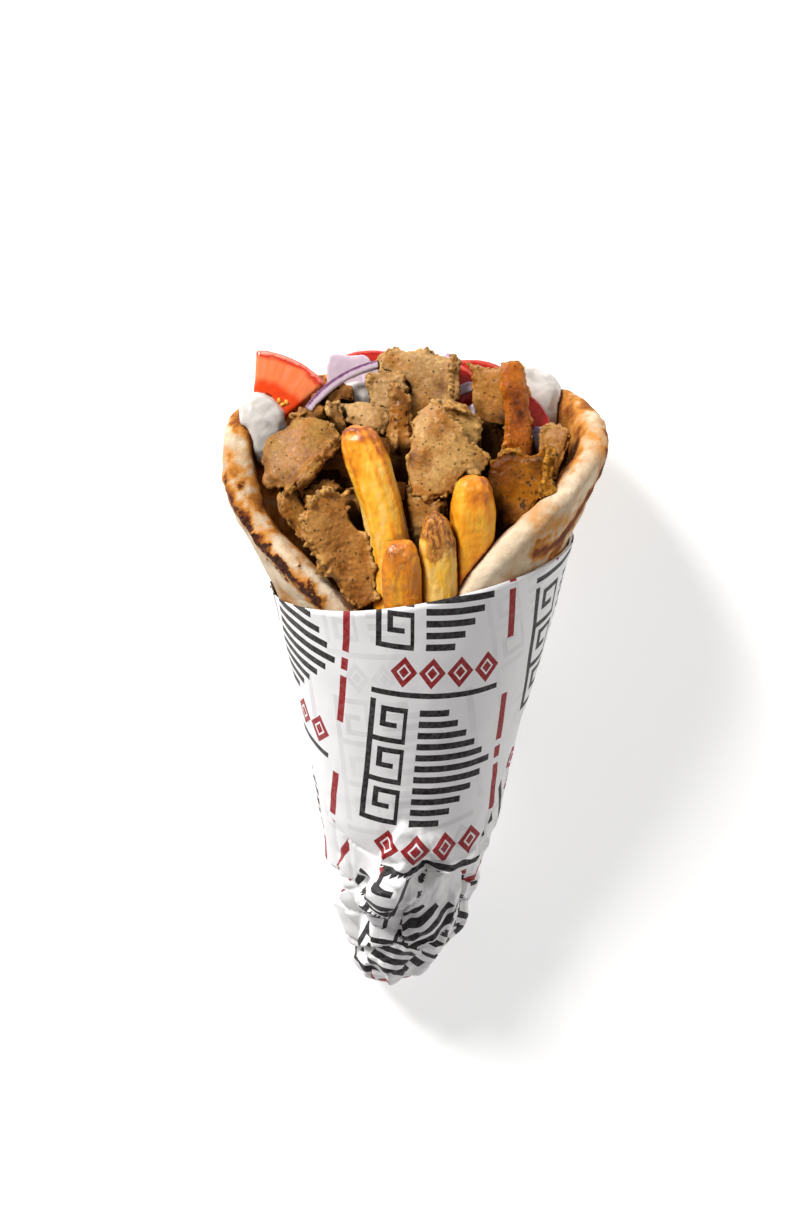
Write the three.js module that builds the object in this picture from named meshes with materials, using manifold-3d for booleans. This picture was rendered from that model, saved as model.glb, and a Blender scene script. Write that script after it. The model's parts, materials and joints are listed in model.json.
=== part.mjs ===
// A gyro wrap that lies on its back: a thick flatbread folded into a cone round shaved meat, chips, tomato,
// red onion and yoghurt sauce, with a sheet of paper wound round its lower two thirds and crushed shut at the
// foot.
//
// It is built standing, with x to its right, y to its back and z from the foot to the mouth, and then laid
// down, so that +Y runs from foot to mouth and the open front faces +Z. Lengths are millimetres.
import * as THREE from "three";
import { mergeVertices } from "three/addons/utils/BufferGeometryUtils.js";
import Module from "manifold-3d";

const wasm = await Module();
wasm.setup();

// ---- Driving dimensions -------------------------------------------------------------------------

const GAP = 0.35; // between any two pieces that touch
const LEAST_GAP = 0.25; // where two curved faces lie side by side
const PAPER = 0.8; // the wound paper, two or three layers thick
const BREAD = { atFoot: 6, atRim: 10 }; // the flatbread's thickness
const FOOT_Z = -131.5; // the crushed end of the paper
const FOOT_ROUND = 7.5; // how far up the crushed end is rounded
const BREAD_FOOT_Z = -106; // the folded tip of the bread, inside the paper
const HOLLOW_FOOT_Z = -92; // the lowest filling

// The back is one straight line from foot to mouth, and the ground flattens it.
const BACK = { z: -114, reach: 15, slope: 0.185 };
const FLAT_DEPTH = 1.6; // how far the ground pushes the round back in
const LIE_ANGLE = Math.atan(BACK.slope);

// The outside of the wrap: height, half width, reach to the front, and how far the middle leans to the right.
const STATIONS = [
  [-140, 12.5, 11, -4.5],
  [-125, 12.5, 11, -4.5],
  [-114, 17.2, 15, -0.7],
  [-92, 21.8, 19.5, 1.2],
  [-70, 28.8, 25.5, 2.1],
  [-49, 32.3, 29.5, 2],
  [-18, 39, 36, 2.9],
  [3, 43.8, 40, 3.2],
  [25, 51, 43.5, 1.8],
  [35, 55.6, 45, 0.6],
  [45, 58.5, 46, 2.2],
  [53, 60, 46.5, 3.8],
  [80, 59.5, 47, 4.2],
];

// The rim of the bread: angle in degrees from the front, with its right side positive, and height. The two
// flaps part at the front, where the rim drops behind the paper.
const RIM = [
  [-180, 71],
  [-148, 67],
  [-120, 65.5],
  [-98, 62.5],
  [-88, 56.5],
  [-82, 50],
  [-75, 41],
  [-66, 34],
  [-52, 28],
  [-42, 21.5],
  [-34, 16],
  [-24, 8],
  [-8, 4],
  [10, 8],
  [20, 20],
  [30, 30],
  [42, 39],
  [52, 46],
  [64, 53],
  [78, 57.5],
  [92, 60.5],
  [112, 63.5],
  [132, 65.5],
  [152, 69],
  [180, 71],
];

// Colours and finishes.
const LOOKS = {
  paper: { color: 0xe6e3e3, roughness: 0.55 },
  bread: { color: 0xe6c795, roughness: 0.7 },
  heap: { color: 0x5a3a22, roughness: 0.7 },
  meat: { color: 0xa5794c, roughness: 0.6 },
  crust: { color: 0x9a5c28, roughness: 0.4 },
  chip: { color: 0xe0a030, roughness: 0.4 },
  tomato: { color: 0xd8401f, roughness: 0.3 },
  onion: { color: 0xd9c3d0, roughness: 0.3 },
  sauce: { color: 0xf1eeea, roughness: 0.3 },
};

// ---- Small tools --------------------------------------------------------------------------------

const TURN = 2 * Math.PI;
const rad = THREE.MathUtils.degToRad;
const lerp = THREE.MathUtils.lerp;
const bell = (x) => Math.exp(-x * x);
const smooth = (x, from, to) =>
  from < to ? THREE.MathUtils.smoothstep(x, from, to) : 1 - THREE.MathUtils.smoothstep(x, to, from);

// A smooth curve through rows whose first number is the place and whose others are the values there.
function curveThrough(rows) {
  const places = rows.map(([place]) => place);
  const values = rows.flatMap(([, ...row]) => row);
  const curve = new THREE.CubicInterpolant(places, values, rows[0].length - 1);
  const [first, last] = [places[0] + 0.01, places.at(-1) - 0.01];
  return (place) => curve.evaluate(THREE.MathUtils.clamp(place, first, last));
}

const stationAt = curveThrough(STATIONS);
const rimAt = curveThrough(RIM);

// A wave round a rim that never repeats twice alike: `strength` is in mm or a share, and `lobes` is how many
// main waves it has in a turn.
function ragged(seed, strength, lobes) {
  const waves = [1, 1.7, 2.9].map((pace, k) => ({
    count: Math.round(lobes * pace) + k,
    height: strength / (k + 1.4),
    shift: TURN * THREE.MathUtils.seededRandom(seed * 31 + k * 7 + 1),
  }));
  return (angle) => waves.reduce((sum, w) => sum + w.height * Math.sin(w.count * angle + w.shift), 0);
}

// A closed skin of `rings` rings and `around` points, from pole to pole, each put where place(angle, ring)
// says.
function skin(rings, around, place) {
  const sphere = new THREE.SphereGeometry(1, around, rings);
  const spots = sphere.attributes.position;
  for (let i = 0; i < spots.count; i++) {
    const ring = Math.floor(i / (around + 1));
    const step = (i % (around + 1)) % around;
    const p = place((TURN * step) / around, ring);
    spots.setXYZ(i, p.x, p.y, p.z);
  }
  return sphere;
}

// A three.js geometry as a solid that can be cut, with its faces pointing out.
function solid(geometry) {
  const bare = new THREE.BufferGeometry();
  bare.setAttribute("position", geometry.attributes.position);
  bare.setIndex(geometry.index);
  const merged = mergeVertices(bare, 1e-4);
  const corners = new Uint32Array(merged.index.array);
  const mesh = () =>
    new wasm.Mesh({ numProp: 3, vertProperties: merged.attributes.position.array, triVerts: corners });
  const made = new wasm.Manifold(mesh());
  if (made.volume() > 0) return made;
  for (let i = 0; i < corners.length; i += 3) {
    [corners[i + 1], corners[i + 2]] = [corners[i + 2], corners[i + 1]];
  }
  return new wasm.Manifold(mesh());
}

// A solid's vertices and triangles as a three.js geometry.
function geometryOf(made) {
  const mesh = made.getMesh();
  const geometry = new THREE.BufferGeometry();
  geometry.setAttribute("position", new THREE.BufferAttribute(new Float32Array(mesh.vertProperties), 3));
  geometry.setIndex(new THREE.BufferAttribute(new Uint32Array(mesh.triVerts), 1));
  geometry.computeVertexNormals();
  return geometry;
}

// The largest of the bodies that cutting left.
function largest(made) {
  const bodies = made.decompose();
  return bodies.reduce((best, body) => (body.volume() > best.volume() ? body : best), bodies[0]);
}

// ---- The wrap's outside shape -------------------------------------------------------------------

// How far back the ground lets a surface reach at height z.
const groundReach = (z) => BACK.reach + BACK.slope * (z - BACK.z) - FLAT_DEPTH;

// A point of the outside shape, `inset` mm inside it. Angle 0 is the front and a quarter turn the right side.
function outside(angle, z, inset, swell = 0) {
  const [side, front, lean] = stationAt(z);
  const back = BACK.reach + BACK.slope * (Math.max(z, BACK.z - 11) - BACK.z);
  const low = Math.max(0, (FOOT_Z + FOOT_ROUND - z) / FOOT_ROUND);
  const closing = Math.sqrt(Math.max(0, 1 - low * low));
  const reach = (Math.cos(angle) > 0 ? front : back) - inset + swell;
  const y = -reach * Math.cos(angle) * closing;
  return new THREE.Vector3(
    lean + (side - inset + swell) * Math.sin(angle) * closing,
    Math.min(y, groundReach(z) - inset),
    z,
  );
}

// ---- Paper --------------------------------------------------------------------------------------

const PAPER_AROUND = 44;
const PAPER_EDGE = { z: 17, rise: 8 }; // the top edge, and how much higher it is on the right
const CRUSH = { from: -62, full: -112, depth: 1.5, pleats: 7, layers: 3.8 };
// Where the paper is tucked up at the foot: angle in degrees, height, width in degrees, length and swell.
const TUCKS = [
  { angle: -14, z: -91, wide: 17, long: 9, swell: 5 }, // the folded tuft
  { angle: 16, z: -80, wide: 20, long: 8, swell: -3.2 }, // the hollow above the fold
  { angle: 26, z: -98, wide: 24, long: 9, swell: 1.8 },
  { angle: -48, z: -104, wide: 12, long: 16, swell: -2.6 },
  { angle: -78, z: -96, wide: 16, long: 15, swell: 1.6 },
  { angle: 68, z: -104, wide: 15, long: 14, swell: -2 },
];

const paperEdge = (angle) => PAPER_EDGE.z + PAPER_EDGE.rise * Math.sin(angle);

// How far the crushed paper stands out of the smooth cone, in mm.
function crushed(angle, z) {
  const strength = CRUSH.depth * smooth(z, CRUSH.from, CRUSH.full);
  const twist = 0.02 * (z - CRUSH.from);
  const wide = Math.sin(CRUSH.pleats * angle + 9 * twist);
  const narrow = Math.sin((CRUSH.pleats + 4) * angle - 7 * twist + 2);
  const tucked = TUCKS.reduce((sum, t) => {
    const away = Math.atan2(Math.sin(angle - rad(t.angle)), Math.cos(angle - rad(t.angle)));
    return sum + t.swell * bell(away / rad(t.wide)) * bell((z - t.z) / t.long);
  }, 0);
  return strength * (0.6 * wide + 0.36 * narrow) + tucked;
}

// The paper is folded over itself many times where it is crushed.
const paperThickness = (z) => PAPER + CRUSH.layers * smooth(z, CRUSH.from + 8, CRUSH.from - 14);

// The heights of the paper's inner rings, which the bread's outer rings share, so that they lie side by side.
const LEVELS = [-101.5, -89.5, -76.5, -65.5, -54.5, -21.5];
const POCKET = { z: BREAD_FOOT_Z - 1.6, inset: 9 }; // the bottom of the hollow that holds the bread

function paper(grow = 0) {
  const outer = [0, 1.4, 4, 7.5, 12.5, 18, 24, 30, 36, 42, 48, 54, 61, 72, 90, 110].map((up) => FOOT_Z + up);
  const inner = LEVELS.toReversed();
  const edge = outer.length;
  const pocket = edge + 2 + inner.length;
  return skin(pocket + 1, PAPER_AROUND, (angle, ring) => {
    if (ring === 0) return outside(angle, outer[0] - grow, -grow);
    if (ring < edge) return outside(angle, outer[ring], -grow, crushed(angle, outer[ring]));
    if (ring === edge) return outside(angle, paperEdge(angle) + grow, -grow);
    if (ring === edge + 1) return outside(angle, paperEdge(angle) + grow, PAPER + grow);
    if (ring === pocket) return outside(angle, POCKET.z, POCKET.inset);
    if (ring > pocket) return outside(0, POCKET.z, 0).setY(0);
    const z = inner[ring - edge - 2];
    return outside(angle, z, paperThickness(z) + grow);
  });
}

// ---- Bread --------------------------------------------------------------------------------------

const BREAD_AROUND = 44;
const RIM_STEPS = 4;
// Shares of the way up the bread: where its rings stop being level, and where they pass the paper's edge.
const LEVEL_SHARE = 0.5;
const EDGE_SHARE = 0.7;
const bulge = ragged(8, 0.8, 5);

// An angle as -180 to 180 degrees from the front.
const degrees = (angle) => THREE.MathUtils.euclideanModulo(angle / rad(1) + 180, 360) - 180;
const rimHeight = (angle) => rimAt(degrees(angle))[0];

const breadThickness = (share) => lerp(BREAD.atFoot, BREAD.atRim, smooth(share, 0.45, 1));

// The share of the way up the bread at which a level lies.
const levelShare = (z) => (LEVEL_SHARE * (z - BREAD_FOOT_Z)) / (LEVELS.at(-1) - BREAD_FOOT_Z);

// How high the bread is `share` of the way up from its tip to its rim.
function breadHeight(angle, share) {
  const top = rimHeight(angle) - BREAD.atRim / 2;
  const edge = Math.min(paperEdge(angle) + 1, top - 4);
  if (share <= LEVEL_SHARE) return lerp(BREAD_FOOT_Z, LEVELS.at(-1), share / LEVEL_SHARE);
  if (share > EDGE_SHARE) return lerp(edge, top, (share - EDGE_SHARE) / (1 - EDGE_SHARE));
  return lerp(LEVELS.at(-1), edge, (share - LEVEL_SHARE) / (EDGE_SHARE - LEVEL_SHARE));
}

// How far the bread's outer face keeps inside the outside shape: it is held in by the paper, and swells
// above it.
function breadInset(angle, z) {
  return (paperThickness(z) + GAP) * smooth(z, paperEdge(angle) + 5, paperEdge(angle) + 1);
}

// A point of the bread `share` of the way up from its tip to its rim, `inward` mm in from its outer face.
function breadPoint(angle, share, inward, up = 0) {
  const z = breadHeight(angle, share) + up;
  const closing = share < 0.09 ? Math.sqrt(1 - (1 - share / 0.09) ** 2) : 1;
  const swell = bulge(angle) * smooth(z, paperEdge(angle) + 4, paperEdge(angle) + 16);
  const p = outside(angle, z, breadInset(angle, z) + inward, swell);
  const middle = outside(0, z, 0).x;
  return new THREE.Vector3(lerp(middle, p.x, closing), p.y * closing, z);
}

function bread(grow = 0) {
  const outer = [0, 0.008, ...LEVELS.map(levelShare), 0.6, EDGE_SHARE, 0.76, 0.84, 0.93];
  const inner = [0.95, 0.86, 0.74, 0.6, 0.42, 0.25, 0.14];
  const rings = outer.length + RIM_STEPS + inner.length;
  const rim = BREAD.atRim / 2;
  return skin(rings, BREAD_AROUND, (angle, ring) => {
    if (ring < outer.length) return breadPoint(angle, outer[ring], -grow);
    const bend = (Math.PI * (ring - outer.length + 0.5)) / RIM_STEPS;
    if (bend < Math.PI) {
      const inward = rim - (rim + grow) * Math.cos(bend);
      return breadPoint(angle, 1, inward, (rim + grow) * Math.sin(bend));
    }
    if (ring === rings) {
      const foot = outside(0, HOLLOW_FOOT_Z, 0);
      return new THREE.Vector3(foot.x, 0, HOLLOW_FOOT_Z + grow);
    }
    const share = inner[ring - outer.length - RIM_STEPS];
    return breadPoint(angle, share, breadThickness(share) + grow);
  });
}

// ---- Filling ------------------------------------------------------------------------------------

const CORE_AROUND = 30;
const CORE_TOP = { z: 9, slope: 0.9 }; // the heap's height at its middle, and how it climbs towards the back
const CORE_FOOT_Z = -86;
const CORE_SHARE = 0.6; // how far up the bread the heap fills it
const CORE_GAP = 0.8; // between the heap and the bread
const coreBumps = [ragged(21, 2.4, 4), ragged(22, 2, 3)];

// The heap of shavings deep in the cone, which the pieces that show stand on. It is higher at the back.
function core(grow = 0) {
  const side = [0.14, 0.25, 0.42, 0.54];
  const topShares = [0.97, 0.7, 0.4, 0];
  const rings = side.length + topShares.length;
  return skin(rings, CORE_AROUND, (angle, ring) => {
    if (ring === 0) return new THREE.Vector3(outside(0, CORE_FOOT_Z, 0).x, 0, CORE_FOOT_Z - grow);
    if (ring < side.length + 1) {
      const share = side[ring - 1];
      return breadPoint(angle, share, breadThickness(share) + CORE_GAP - grow);
    }
    const share = topShares[ring - side.length - 1];
    const rim = breadPoint(angle, CORE_SHARE, breadThickness(CORE_SHARE) + CORE_GAP - grow);
    const middle = outside(0, CORE_TOP.z, 0).x;
    const x = lerp(middle, rim.x, share);
    const y = rim.y * share;
    const wave = share ? coreBumps[0](angle) + coreBumps[1](angle * 2) : 0;
    return new THREE.Vector3(x, y, CORE_TOP.z + CORE_TOP.slope * y + wave + grow);
  });
}

// The frame of a long piece: its origin half way from foot to tip, its second axis along it and its third out
// of its face.
function frameOf({ foot, tip, facing }) {
  const from = new THREE.Vector3(...foot);
  const to = new THREE.Vector3(...tip);
  const along = to.clone().sub(from).normalize();
  const out = new THREE.Vector3(...facing);
  out.addScaledVector(along, -out.dot(along)).normalize();
  const across = along.clone().cross(out);
  return {
    length: from.distanceTo(to),
    matrix: new THREE.Matrix4()
      .makeBasis(across, along, out)
      .setPosition(from.add(to).multiplyScalar(0.5)),
  };
}

// The frame of a sheet: its first axis to the right, its second up and its third out of its face.
//   lean: degrees its top leans back
//   turn: degrees its face turns to the right
//   roll: degrees it turns anticlockwise in its own plane
function facingFrame(at, { lean = 0, turn = 0, roll = 0 }) {
  const upright = new THREE.Matrix4().makeRotationX(Math.PI / 2);
  const leant = new THREE.Matrix4().makeRotationX(-rad(lean));
  const turned = new THREE.Matrix4().makeRotationZ(rad(turn));
  const rolled = new THREE.Matrix4().makeRotationZ(rad(roll));
  return turned.multiply(leant).multiply(upright).multiply(rolled).setPosition(...at);
}

const SHEET_STEPS = 3; // points on its edge for each point of its outline
const FLAT_SHARES = [0, 0.6]; // shares of the outline at which a flat sheet has rings
const FOLDED_SHARES = [0, 0.35, 0.58, 0.8]; // the same of a folded sheet
const EDGE_ROUND = 0.6; // share of half the thickness that its edge keeps

// The rings of a sheet: share of the outline, share of half the thickness.
function sheetRings(shares) {
  const front = shares.map((share) => [share, 1]);
  const behind = shares.map((share) => [share, -1]).reverse();
  return [...front, [1, EDGE_ROUND], [1, -EDGE_ROUND], ...behind];
}

// A flat sheet turned up towards its face beyond a line. `across` is the way over the line, in degrees from
// the sheet's right, `from` is how far the line is from its middle, and it turns `by` degrees round `radius`.
function folded(x, y, out, { across, from, by, radius }) {
  const [cos, sin] = [Math.cos(rad(across)), Math.sin(rad(across))];
  const over = x * cos + y * sin - from;
  if (over <= 0) return [x, y, out];
  const turn = Math.min(over / radius, rad(by));
  const flat = over - radius * turn;
  const reach = from + (radius - out) * Math.sin(turn) + flat * Math.cos(turn);
  const rise = radius - (radius - out) * Math.cos(turn) + flat * Math.sin(turn);
  const along = y * cos - x * sin;
  return [reach * cos - along * sin, reach * sin + along * cos, rise];
}

// A sheet, such as a shaving of meat or a layer of onion: its outline is a smooth curve through a few points,
// given as [right, up] from its middle, with a torn edge.
//   curl: degrees it turns across its width, towards its face where positive
//   bend: degrees it turns along its length, towards its face where positive
//   fold: where its edge is turned up, if it is
function sheet(spec, grow = 0) {
  const { at, pose, outline, thick = 3.6, torn = 0, fold, seed } = spec;
  const { curl = 0, bend = 0 } = pose;
  const frame = facingFrame(at, pose);
  const corners = outline.map(([x, y]) => new THREE.Vector3(x, y, 0));
  const edge = new THREE.CatmullRomCurve3(corners, true, "centripetal");
  const box = new THREE.Box3().setFromPoints(corners);
  const size = box.getSize(new THREE.Vector3());
  const tear = ragged(seed, torn, 7);
  const bow = rad(curl) / size.x;
  const arch = rad(bend) / size.y;
  const around = SHEET_STEPS * outline.length;
  const rings = sheetRings(fold ? FOLDED_SHARES : FLAT_SHARES);
  return skin(rings.length - 1, around, (angle, ring) => {
    const [share, side] = rings[ring];
    const spot = edge.getPoint(angle / TURN);
    const reach = share * (1 + tear(angle) + grow / spot.length());
    const flat = [spot.x * reach, spot.y * reach, side * (thick / 2 + grow)];
    const [x, y, out] = fold ? folded(...flat, fold) : flat;
    return new THREE.Vector3(
      curved(x, out, bow),
      curved(y, out, arch),
      out + dished(x, bow) + dished(y, arch),
    ).applyMatrix4(frame);
  });
}

// A line bent by `bow` radians a mm: how far along it a point gets that stands `out` from it, and how far it
// rises.
const curved = (along, out, bow) => (bow ? Math.sin(bow * along) * (1 / bow - out) : along);
const dished = (along, bow) => (bow ? (1 - Math.cos(bow * along)) / bow : 0);

const CHIP_AROUND = 12;
const CHIP_RINGS = [0, 0.012, 0.06, 0.25, 0.45, 0.65, 0.82, 0.94, 0.985, 1];

// A chip cut by hand: a bar with soft corners that bows, twists and swells along its length.
function chip(spec, grow = 0) {
  const { width, deep, bow, twist, point, seed } = spec;
  const { length, matrix } = frameOf(spec);
  const swell = ragged(seed, 0.05, 2);
  return skin(CHIP_RINGS.length - 1, CHIP_AROUND, (angle, ring) => {
    const share = CHIP_RINGS[ring];
    const end = Math.min(share, 1 - share);
    const closing = end === 0 ? 0 : lerp(point, 1, smooth(end, 0, 0.12)) * (end < 0.02 ? 0.8 : 1);
    const corner = (Math.abs(Math.cos(angle)) ** 4 + Math.abs(Math.sin(angle)) ** 4) ** -0.25;
    const size = closing * (1 + swell(2 * share + 0.4 * Math.sin(angle)));
    const turn = rad(twist) * (share - 0.5);
    const x = (width / 2 + grow) * size * corner * Math.cos(angle);
    const z = (deep / 2 + grow) * size * corner * Math.sin(angle);
    return new THREE.Vector3(
      x * Math.cos(turn) - z * Math.sin(turn) + bow * (1 - (2 * share - 1) ** 2),
      (length + 2 * grow) * (share - 0.5),
      x * Math.sin(turn) + z * Math.cos(turn),
    ).applyMatrix4(matrix);
  });
}

const SECTOR_STEPS = 9;

// A flat cut with a round outer edge, such as a piece of tomato or of an onion ring: part of a ring between
// two radii, `sweep` degrees wide. Its frame's origin is the ring's middle and it faces along `facing`.
function sector(spec, grow = 0) {
  const { middle, up, facing, outer, inner = 0, sweep, thick, bevel = 0.8 } = spec;
  const half = rad(sweep) / 2;
  const reach = outer + grow;
  const core = Math.max(0, inner - grow);
  const slack = grow / outer;
  const outline = new THREE.Shape();
  const from = Math.PI / 2 - half - slack;
  const to = Math.PI / 2 + half + slack;
  outline.absarc(0, 0, reach, from, to, false);
  if (core > 0) outline.absarc(0, 0, core, to, from, true);
  else outline.lineTo(0, -grow);
  outline.closePath();
  const geometry = new THREE.ExtrudeGeometry(outline, {
    depth: thick + 2 * grow - 2 * bevel,
    bevelEnabled: true,
    bevelThickness: bevel,
    bevelSize: bevel,
    bevelOffset: -bevel,
    bevelSegments: 1,
    curveSegments: SECTOR_STEPS,
  });
  geometry.translate(0, 0, -(thick / 2 + grow - bevel));
  const { matrix } = frameOf({ foot: [0, 0, 0], tip: up, facing });
  matrix.setPosition(...middle);
  geometry.applyMatrix4(matrix);
  return indexed(geometry);
}

// An extruded geometry with shared corners.
function indexed(geometry) {
  geometry.deleteAttribute("normal");
  geometry.deleteAttribute("uv");
  return mergeVertices(geometry, 1e-4);
}

const SAUCE_AROUND = 14;
const SAUCE_RINGS = 8;

// A spoonful of sauce: a lump with soft waves.
function dollop(spec, grow = 0) {
  const { middle, size, up, wave, seed } = spec;
  const { matrix } = frameOf({ foot: [0, 0, 0], tip: up, facing: [0, -1, 0] });
  matrix.setPosition(...middle);
  const ripple = ragged(seed, wave, 3);
  return skin(SAUCE_RINGS, SAUCE_AROUND, (angle, ring) => {
    const height = Math.PI * (ring / SAUCE_RINGS);
    const round = Math.sin(height);
    const swell = 1 + ripple(angle + 1.5 * Math.cos(height)) * round;
    return new THREE.Vector3(
      (size[0] / 2 + grow) * round * Math.cos(angle) * swell,
      (size[1] / 2 + grow) * Math.cos(height),
      (size[2] / 2 + grow) * round * Math.sin(angle) * swell,
    ).applyMatrix4(matrix);
  });
}

// ---- The pieces of the filling ------------------------------------------------------------------

// Chips, which stand where the flaps part. Their feet are hidden by the paper.
const CHIPS = [
  { name: "chip_tall", foot: [-3.5, -31, 0], tip: [-15.6, -18, 65.5], facing: [-0.25, -1, 0] },
  { name: "chip_skin_left", foot: [-1.5, -36, -14], tip: [-1.2, -37, 35], facing: [0, -1, 0] },
  { name: "chip_skin_right", foot: [11.5, -35, -12], tip: [9, -33, 43.5], facing: [0.1, -1, 0] },
  { name: "chip_wide", foot: [18, -30, -10], tip: [20.8, -27.5, 53], facing: [0.15, -1, 0] },
];
const CHIP_SIZES = {
  chip_tall: { width: 12.8, deep: 11.5, bow: 4.5, twist: 12, point: 0.72 },
  chip_skin_left: { width: 12, deep: 8.5, bow: 0.6, twist: -10, point: 0.62 },
  chip_skin_right: { width: 11, deep: 9.5, bow: 0.6, twist: 8, point: 0.3 },
  chip_wide: { width: 13.6, deep: 11.5, bow: 0.4, twist: 6, point: 0.6 },
};

// Shavings of meat, from the front of the mouth to its back.
const SHAVINGS = [
  {
    name: "meat_left_low",
    at: [-20.4, -28.5, 30.8],
    pose: { lean: 18, turn: 14, curl: 24 },
    torn: 0.05,
    outline: [
      [-10, 10], [-5, 15], [3, 15.5], [4, 9], [8, 3], [11, -4], [11.5, -18], [3, -20], [-4, -7], [-9.5, 2],
    ],
  },
  {
    name: "meat_left_edge",
    at: [-34.2, -18.5, 38.7],
    pose: { lean: 20, turn: 24, curl: 20 },
    torn: 0.07,
    outline: [[-5, 3], [-2, 7], [3, 5.5], [4.3, 0], [4.3, -9.5], [1, -7], [-3.5, -2]],
  },
  {
    name: "meat_centre",
    at: [12.5, -16.5, 56.7],
    pose: { lean: 28, turn: 6, curl: -50, bend: -22 },
    thick: 4,
    torn: 0.025,
    outline: [
      [-8, 13], [-3, 16], [1, 12], [5, 5], [13, -2], [11, -7], [5, -7], [1, -13], [-10.5, -13], [-11.5, 0],
    ],
  },
  {
    name: "meat_centre_low",
    at: [7, -22.6, 36.1],
    pose: { lean: 17, turn: 4, curl: -30 },
    torn: 0.02,
    outline: [[-6, 10], [2, 11], [6.5, 6], [3, -5], [1, -20], [-5, -20], [-6.5, -6]],
  },
  {
    name: "meat_right_low",
    at: [34, -18, 43.2],
    pose: { lean: 21, turn: -14, curl: 26 },
    torn: 0.02,
    outline: [
      [-9, 9], [-4, 13], [5, 12.5], [11, 15], [12, 3], [9, -4], [-2, -13.5], [-8, -18], [-9.5, -5],
    ],
    fold: { across: -4, from: 7, by: 55, radius: 2.6 },
  },
  {
    name: "meat_left_top",
    at: [-33.4, -11.5, 55.8],
    pose: { lean: 36, turn: -8, curl: -52, bend: -16 },
    torn: 0.03,
    outline: [
      [14.5, 3.5], [6, 11], [-2, 9], [-9.5, 3], [-10.5, -5], [-6, -12], [4, -14.5], [8, -7.5], [11, -2.5],
    ],
    fold: { across: -36, from: 5, by: 80, radius: 3 },
  },
  {
    name: "meat_left_curl",
    at: [-25, -17, 44.8],
    pose: { lean: 44, curl: -40 },
    torn: 0.08,
    outline: [[-5.5, 0.5], [-3, 3.2], [4.5, 2.6], [6, -1], [-0.5, -2.4], [-3, -6], [-5.6, -4]],
  },
  {
    name: "meat_behind_chip",
    at: [-21.6, -7.5, 48.1],
    pose: { lean: 20, curl: 14 },
    torn: 0.03,
    outline: [[-6, 4], [0, 8], [6, 6], [8.5, -2], [6, -14], [-4, -14], [-7, -5]],
  },
  {
    name: "meat_left_deep",
    at: [-14.4, -18, 35.2],
    pose: { lean: 15, curl: -10 },
    torn: 0.04,
    outline: [[-5, 8], [2, 9], [6, 3], [5, -18], [-2, -18], [-5, -6]],
  },
  {
    name: "meat_centre_edge",
    at: [-1.5, -4, 61.7],
    pose: { lean: 18, turn: 12 },
    thick: 6,
    torn: 0.05,
    outline: [[-1.5, 13], [1.5, 10.5], [3.5, 5], [2.5, -4], [2.5, -18], [-3, -18], [-3.3, 0], [-2.8, 8]],
  },
  {
    name: "meat_far_right",
    at: [46, -3, 50.5],
    pose: { lean: 20, turn: -24, curl: 16 },
    thick: 4,
    torn: 0.02,
    outline: [[-4, 9], [1, 10], [5, 8.3], [4, 1], [0, -12], [-4, -12], [-4, -2]],
  },
  {
    name: "meat_middle",
    at: [17.7, -2, 58.6],
    pose: { lean: 16, curl: -24 },
    torn: 0.03,
    outline: [[-5, 7], [-1, 9.5], [3, 7.5], [5.5, 1.5], [4.5, -14], [-4, -14], [-5.5, 0]],
    fold: { across: 68, from: 4, by: 70, radius: 2.6 },
  },
  {
    name: "meat_middle_deep",
    at: [27, 2.5, 54.5],
    pose: { lean: 16, curl: -24 },
    torn: 0.04,
    outline: [[-4.5, 3], [-1, 5], [3, 4], [5, -1], [4.5, -15], [-4.5, -15]],
  },
  {
    name: "meat_crust",
    at: [34.2, 3, 64.9],
    pose: { lean: 14, turn: 18, curl: -60 },
    look: LOOKS.crust,
    thick: 5,
    torn: 0.01,
    outline: [[-3.4, 14], [1.4, 14.4], [3, 9], [4.6, -6], [5.4, -17], [-4, -17], [-3.4, -3]],
  },
  {
    name: "meat_right_top",
    at: [25.9, 8.5, 65.7],
    pose: { lean: 12, turn: -16, curl: 10 },
    torn: 0.02,
    outline: [[-6.5, 11], [-1, 10.3], [5, 11.3], [7, 0], [6.5, -20], [-3, -20], [-3.5, -6], [-5.5, 6]],
  },
  {
    name: "meat_top_front",
    at: [-5.3, 8.5, 67.7],
    pose: { lean: 26 },
    thick: 4.4,
    torn: 0.06,
    outline: [[-5, 5], [0, 6.6], [4.5, 5], [6, 0], [4, -6], [-1, -6.5], [-5, -3]],
  },
  {
    name: "meat_top",
    at: [4.7, 13.5, 70.8],
    pose: { lean: 24, curl: 34, bend: -14 },
    torn: 0.02,
    outline: [
      [-13, 6], [-10, 10], [-3, 9.6], [5, 8], [13, 5.5], [12.5, -1], [11.5, -12], [0, -14], [-8, -8],
    ],
    fold: { across: -6, from: 8.5, by: 60, radius: 2.6 },
  },
  {
    name: "meat_top_left",
    at: [-12, 2.5, 62.6],
    pose: { lean: 46, curl: -34 },
    torn: 0.03,
    outline: [[-11, 5], [-4, 4.6], [4, 4], [8.5, -1], [7.5, -6], [2, -6], [-5, -3.5], [-10, 1]],
  },
  {
    name: "meat_flake",
    at: [-21.3, -0.5, 63.1],
    pose: { lean: 14, turn: 20 },
    thick: 3,
    torn: 0.05,
    outline: [[-3, 4.5], [1, 4], [1.8, 0.5], [3, -4], [0, -6], [-2.4, -1]],
  },
  {
    name: "meat_left_lump",
    at: [-29, 1.5, 63],
    pose: { lean: 30 },
    thick: 4.4,
    torn: 0.06,
    outline: [[-6, -2], [-2, 2.4], [3, 3.4], [6, 1], [5, -5], [-3, -6]],
  },
  {
    name: "meat_back_lump",
    at: [-21.5, 8, 66.5],
    pose: { lean: 24 },
    thick: 5,
    torn: 0.07,
    outline: [[-6, 0.5], [-2, 3], [3.5, 3.6], [6, 0], [5, -9], [-5, -9]],
  },
];

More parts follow.
